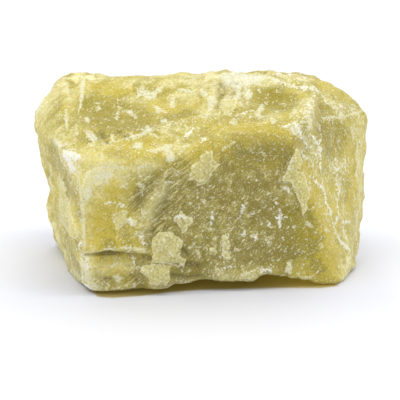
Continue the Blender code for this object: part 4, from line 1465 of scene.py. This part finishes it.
# %% Plates, under the flecks
PLATE_TINT = (0.68, 0.63, 0.30, 1.0)
PLATE_RIM_HIGHLIGHT = (0.84, 0.82, 0.60, 1.0)
PLATE_FRAY = 1.3
PLATE_SOFTNESS = 0.1
PLATE_RIM = (0.35, 0.1)
PLATE_RIM_HIGHLIGHT_SHARE = 0.4
PLATE_SHARE = 0.34
PLATE_MOTTLE = 0.45
BROKEN_LIMITS = (0.36, 0.6)
RAGGED_PARTS = (0.5, 0.5)

ragged_noise = plus(times(blot, RAGGED_PARTS[0]), times(crumb, RAGGED_PARTS[1]))
broken = spread(BROKEN_LIMITS, crumb)
plate_mask = frayed("plate", ragged_noise, PLATE_FRAY, PLATE_SOFTNESS)
# A paler band just inside each plate's rim is a painted highlight.
plate_rim_highlight = times(plate_mask, spread(PLATE_RIM, skin_field("plate")))
color = tinted(color, PLATE_TINT, times(plate_mask, plus(times(broken, PLATE_MOTTLE), PLATE_SHARE)))
color = tinted(color, PLATE_RIM_HIGHLIGHT, times(plate_rim_highlight, PLATE_RIM_HIGHLIGHT_SHARE))
print("plates are tinted towards", PLATE_TINT[:3])

# %% [markdown]
# ## Flecks and frost
# One density says how near a point is to frost. It haloes the frost with a milky haze and lowers the level at
# which grain and crumbs turn pale. Flecks thin out on the top and where the zones are amber, gold or dark.

# %% How dense the frost is
FROST_RIM = (-1.6, 1.6)
FROST_PUSH = 0.11
EDGE_LIMITS = (0.03, 0.3)
EDGE_PUSH = 0.035
HAZE = 2.2
BLOT_PUSH = 0.35
TOP_LIMITS = (0.5, 0.9)
TOP_THINNING = 0.04
ZONE_THINNING = {"amber": 0.05, "gold": 0.07, "dark": 0.05}

density = plus(times(spread(FROST_RIM, skin_field("frost_zone")), FROST_PUSH),
               times(spread(EDGE_LIMITS, skin_field("edge")), EDGE_PUSH))
color = tinted(color, MILKY_YELLOW, times(density, HAZE))
blotted = times(minus(blot, NOISE_MIDDLE), BLOT_PUSH)
thinned = times(spread(TOP_LIMITS, skin_field("top")), TOP_THINNING)
for zone, thinning in ZONE_THINNING.items():
    thinned = plus(thinned, times(zone_share[zone], thinning))
grain_noise = blended(blended(fleck, streak, on_end), top_fleck, on_top)
print("frost adds up to", FROST_PUSH, "to the noises, and sharp edges up to", EDGE_PUSH)

# %% Dust, curls, grain, dashes and crumbs
FLECK_TINT = (0.84, 0.80, 0.46, 1.0)
DASH_TINT = (0.84, 0.78, 0.50, 1.0)
FROST_TINT = (0.90, 0.90, 0.80, 1.0)
DUST_LIMITS = (0.5, 0.66)
DUST_SHARE = 0.24
CURL_WIDTH = 0.05
CURL_LIMITS = (0.44, 0.58)
CURL_SHARE = 0.25
FLECK_LIMITS = (0.585, 0.635)
FLECK_SHARE = 0.45
DASH_LIMITS = (0.28, 0.2)
CHANCE_LIMITS = (0.4, 0.6)
GOLD_DASH_LOSS = 0.5
DASH_SHARE = 0.55
CRUMB_LIMITS = (0.63, 0.68)
CRUMB_SHARE = 0.6

off_level = math_node(nodes, "ABSOLUTE", minus(curl, NOISE_MIDDLE))
curl_mask = times(spread((CURL_WIDTH, 0.0), off_level), spread(CURL_LIMITS, blot))
fleck_mask = spread(FLECK_LIMITS, plus(plus(minus(grain_noise, thinned), density), blotted))
chance = spread(CHANCE_LIMITS, blended(front_chance, top_chance, on_top))
kept_dashes = minus(chance, times(zone_share["gold"], GOLD_DASH_LOSS), clamp=True)
dash_mask = times(spread(DASH_LIMITS, blended(front_dash, top_dash, on_top)), kept_dashes)
crumb_mask = spread(CRUMB_LIMITS, plus(plus(crumb, density), blotted))
color = tinted(color, FLECK_TINT, times(spread(DUST_LIMITS, dust), DUST_SHARE))
color = tinted(color, FLECK_TINT, times(curl_mask, CURL_SHARE))
color = tinted(color, FLECK_TINT, times(fleck_mask, FLECK_SHARE))
color = tinted(color, DASH_TINT, times(dash_mask, DASH_SHARE))
color = tinted(color, FROST_TINT, times(crumb_mask, CRUMB_SHARE))
print("grain turns pale from", FLECK_LIMITS[0], "and crumbs from", CRUMB_LIMITS[0])

# %% [markdown]
# ## Marks over everything
# Each kind of mark is a row: its field, the noise that frays it, the fray and the softness in millimetres,
# its tint, its share, and what is added to that share where the crumbs are broken. A bruise and a frost line
# each have a second row for a paler heart.

# %% Bruises, frost lines and cracks
# The crack tint is painted shade.
CRACK_SHADE_TINT = (0.20, 0.155, 0.035, 1.0)
BRUISE_TINT = (0.72, 0.69, 0.42, 1.0)
HEART_TINT = (0.93, 0.93, 0.91, 1.0)
LINE_PARTS = (0.35, 0.65)

line_noise = plus(times(blot, LINE_PARTS[0]), times(crumb, LINE_PARTS[1]))
MARKS = [
    # The crack row paints shade into the cracks.
    ("crack", blot, 0.8, 0.5, CRACK_SHADE_TINT, 0.7, 0.0),
    ("bruise", ragged_noise, 1.1, 0.16, BRUISE_TINT, 0.4, 0.3),
    ("bruise", ragged_noise, 1.4, 0.7, FROST_TINT, 0.2, 0.4),
    ("frost_line", line_noise, 1.7, 0.22, FROST_TINT, 0.45, 0.35),
    ("frost_line", line_noise, 1.8, 0.8, HEART_TINT, 0.6, 0.0),
    ("thin_line", line_noise, 0.9, 0.16, FROST_TINT, 0.4, 0.0),
]
for name, rim_noise, fray_mm, soft_mm, tint, share, broken_share in MARKS:
    mark_mask = frayed(name, rim_noise, fray_mm, soft_mm)
    color = tinted(color, tint, times(mark_mask, plus(times(broken, broken_share), share)))
nodes.links.new(color, finish.inputs["Base Color"])
print("marks:", ", ".join(mark[0] for mark in MARKS))

# %% Wax and grain
ROUGHNESS = 0.4
CRUMB_ROUGHNESS = 0.3
FROST_ROUGHNESS = 0.2
WAX = {
    "IOR": 1.5,
    "Specular IOR Level": 0.25,
    "Sheen Weight": 0.28,
    "Sheen Roughness": 0.3,
    "Sheen Tint": (1.0, 0.97, 0.80, 1.0),
    "Subsurface Weight": 0.3,
    "Subsurface Radius": (1.0, 0.8, 0.3),
    "Subsurface Scale": 1.6 * MM,
}
BUMP_STRENGTH = 0.8
BUMP_DEPTH = 0.1 * MM
RIB_BUMP = 3.0
BLOT_BUMP = 2.0

rough = plus(times(crumb_mask, FROST_ROUGHNESS), plus(times(crumb, CRUMB_ROUGHNESS), ROUGHNESS), clamp=True)
nodes.links.new(rough, finish.inputs["Roughness"])
for socket_name, value in WAX.items():
    finish.inputs[socket_name].default_value = value
bump = nodes.nodes.new("ShaderNodeBump")
bump.inputs["Strength"].default_value = BUMP_STRENGTH
bump.inputs["Distance"].default_value = BUMP_DEPTH
ribs = times(times(striation, grooved), RIB_BUMP)
fine_bump = plus(plus(crumb, fleck), plus(dust, ribs))
nodes.links.new(plus(fine_bump, plus(times(blot, BLOT_BUMP), crumb_mask)), bump.inputs["Height"])
nodes.links.new(bump.outputs["Normal"], finish.inputs["Normal"])
skin.data.materials.clear()
skin.data.materials.append(jadeite)
print("material", jadeite.name, "has", len(nodes.nodes), "nodes")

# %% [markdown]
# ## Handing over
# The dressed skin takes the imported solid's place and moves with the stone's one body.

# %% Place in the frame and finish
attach(skin, "root")
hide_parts("jadeite_stone")
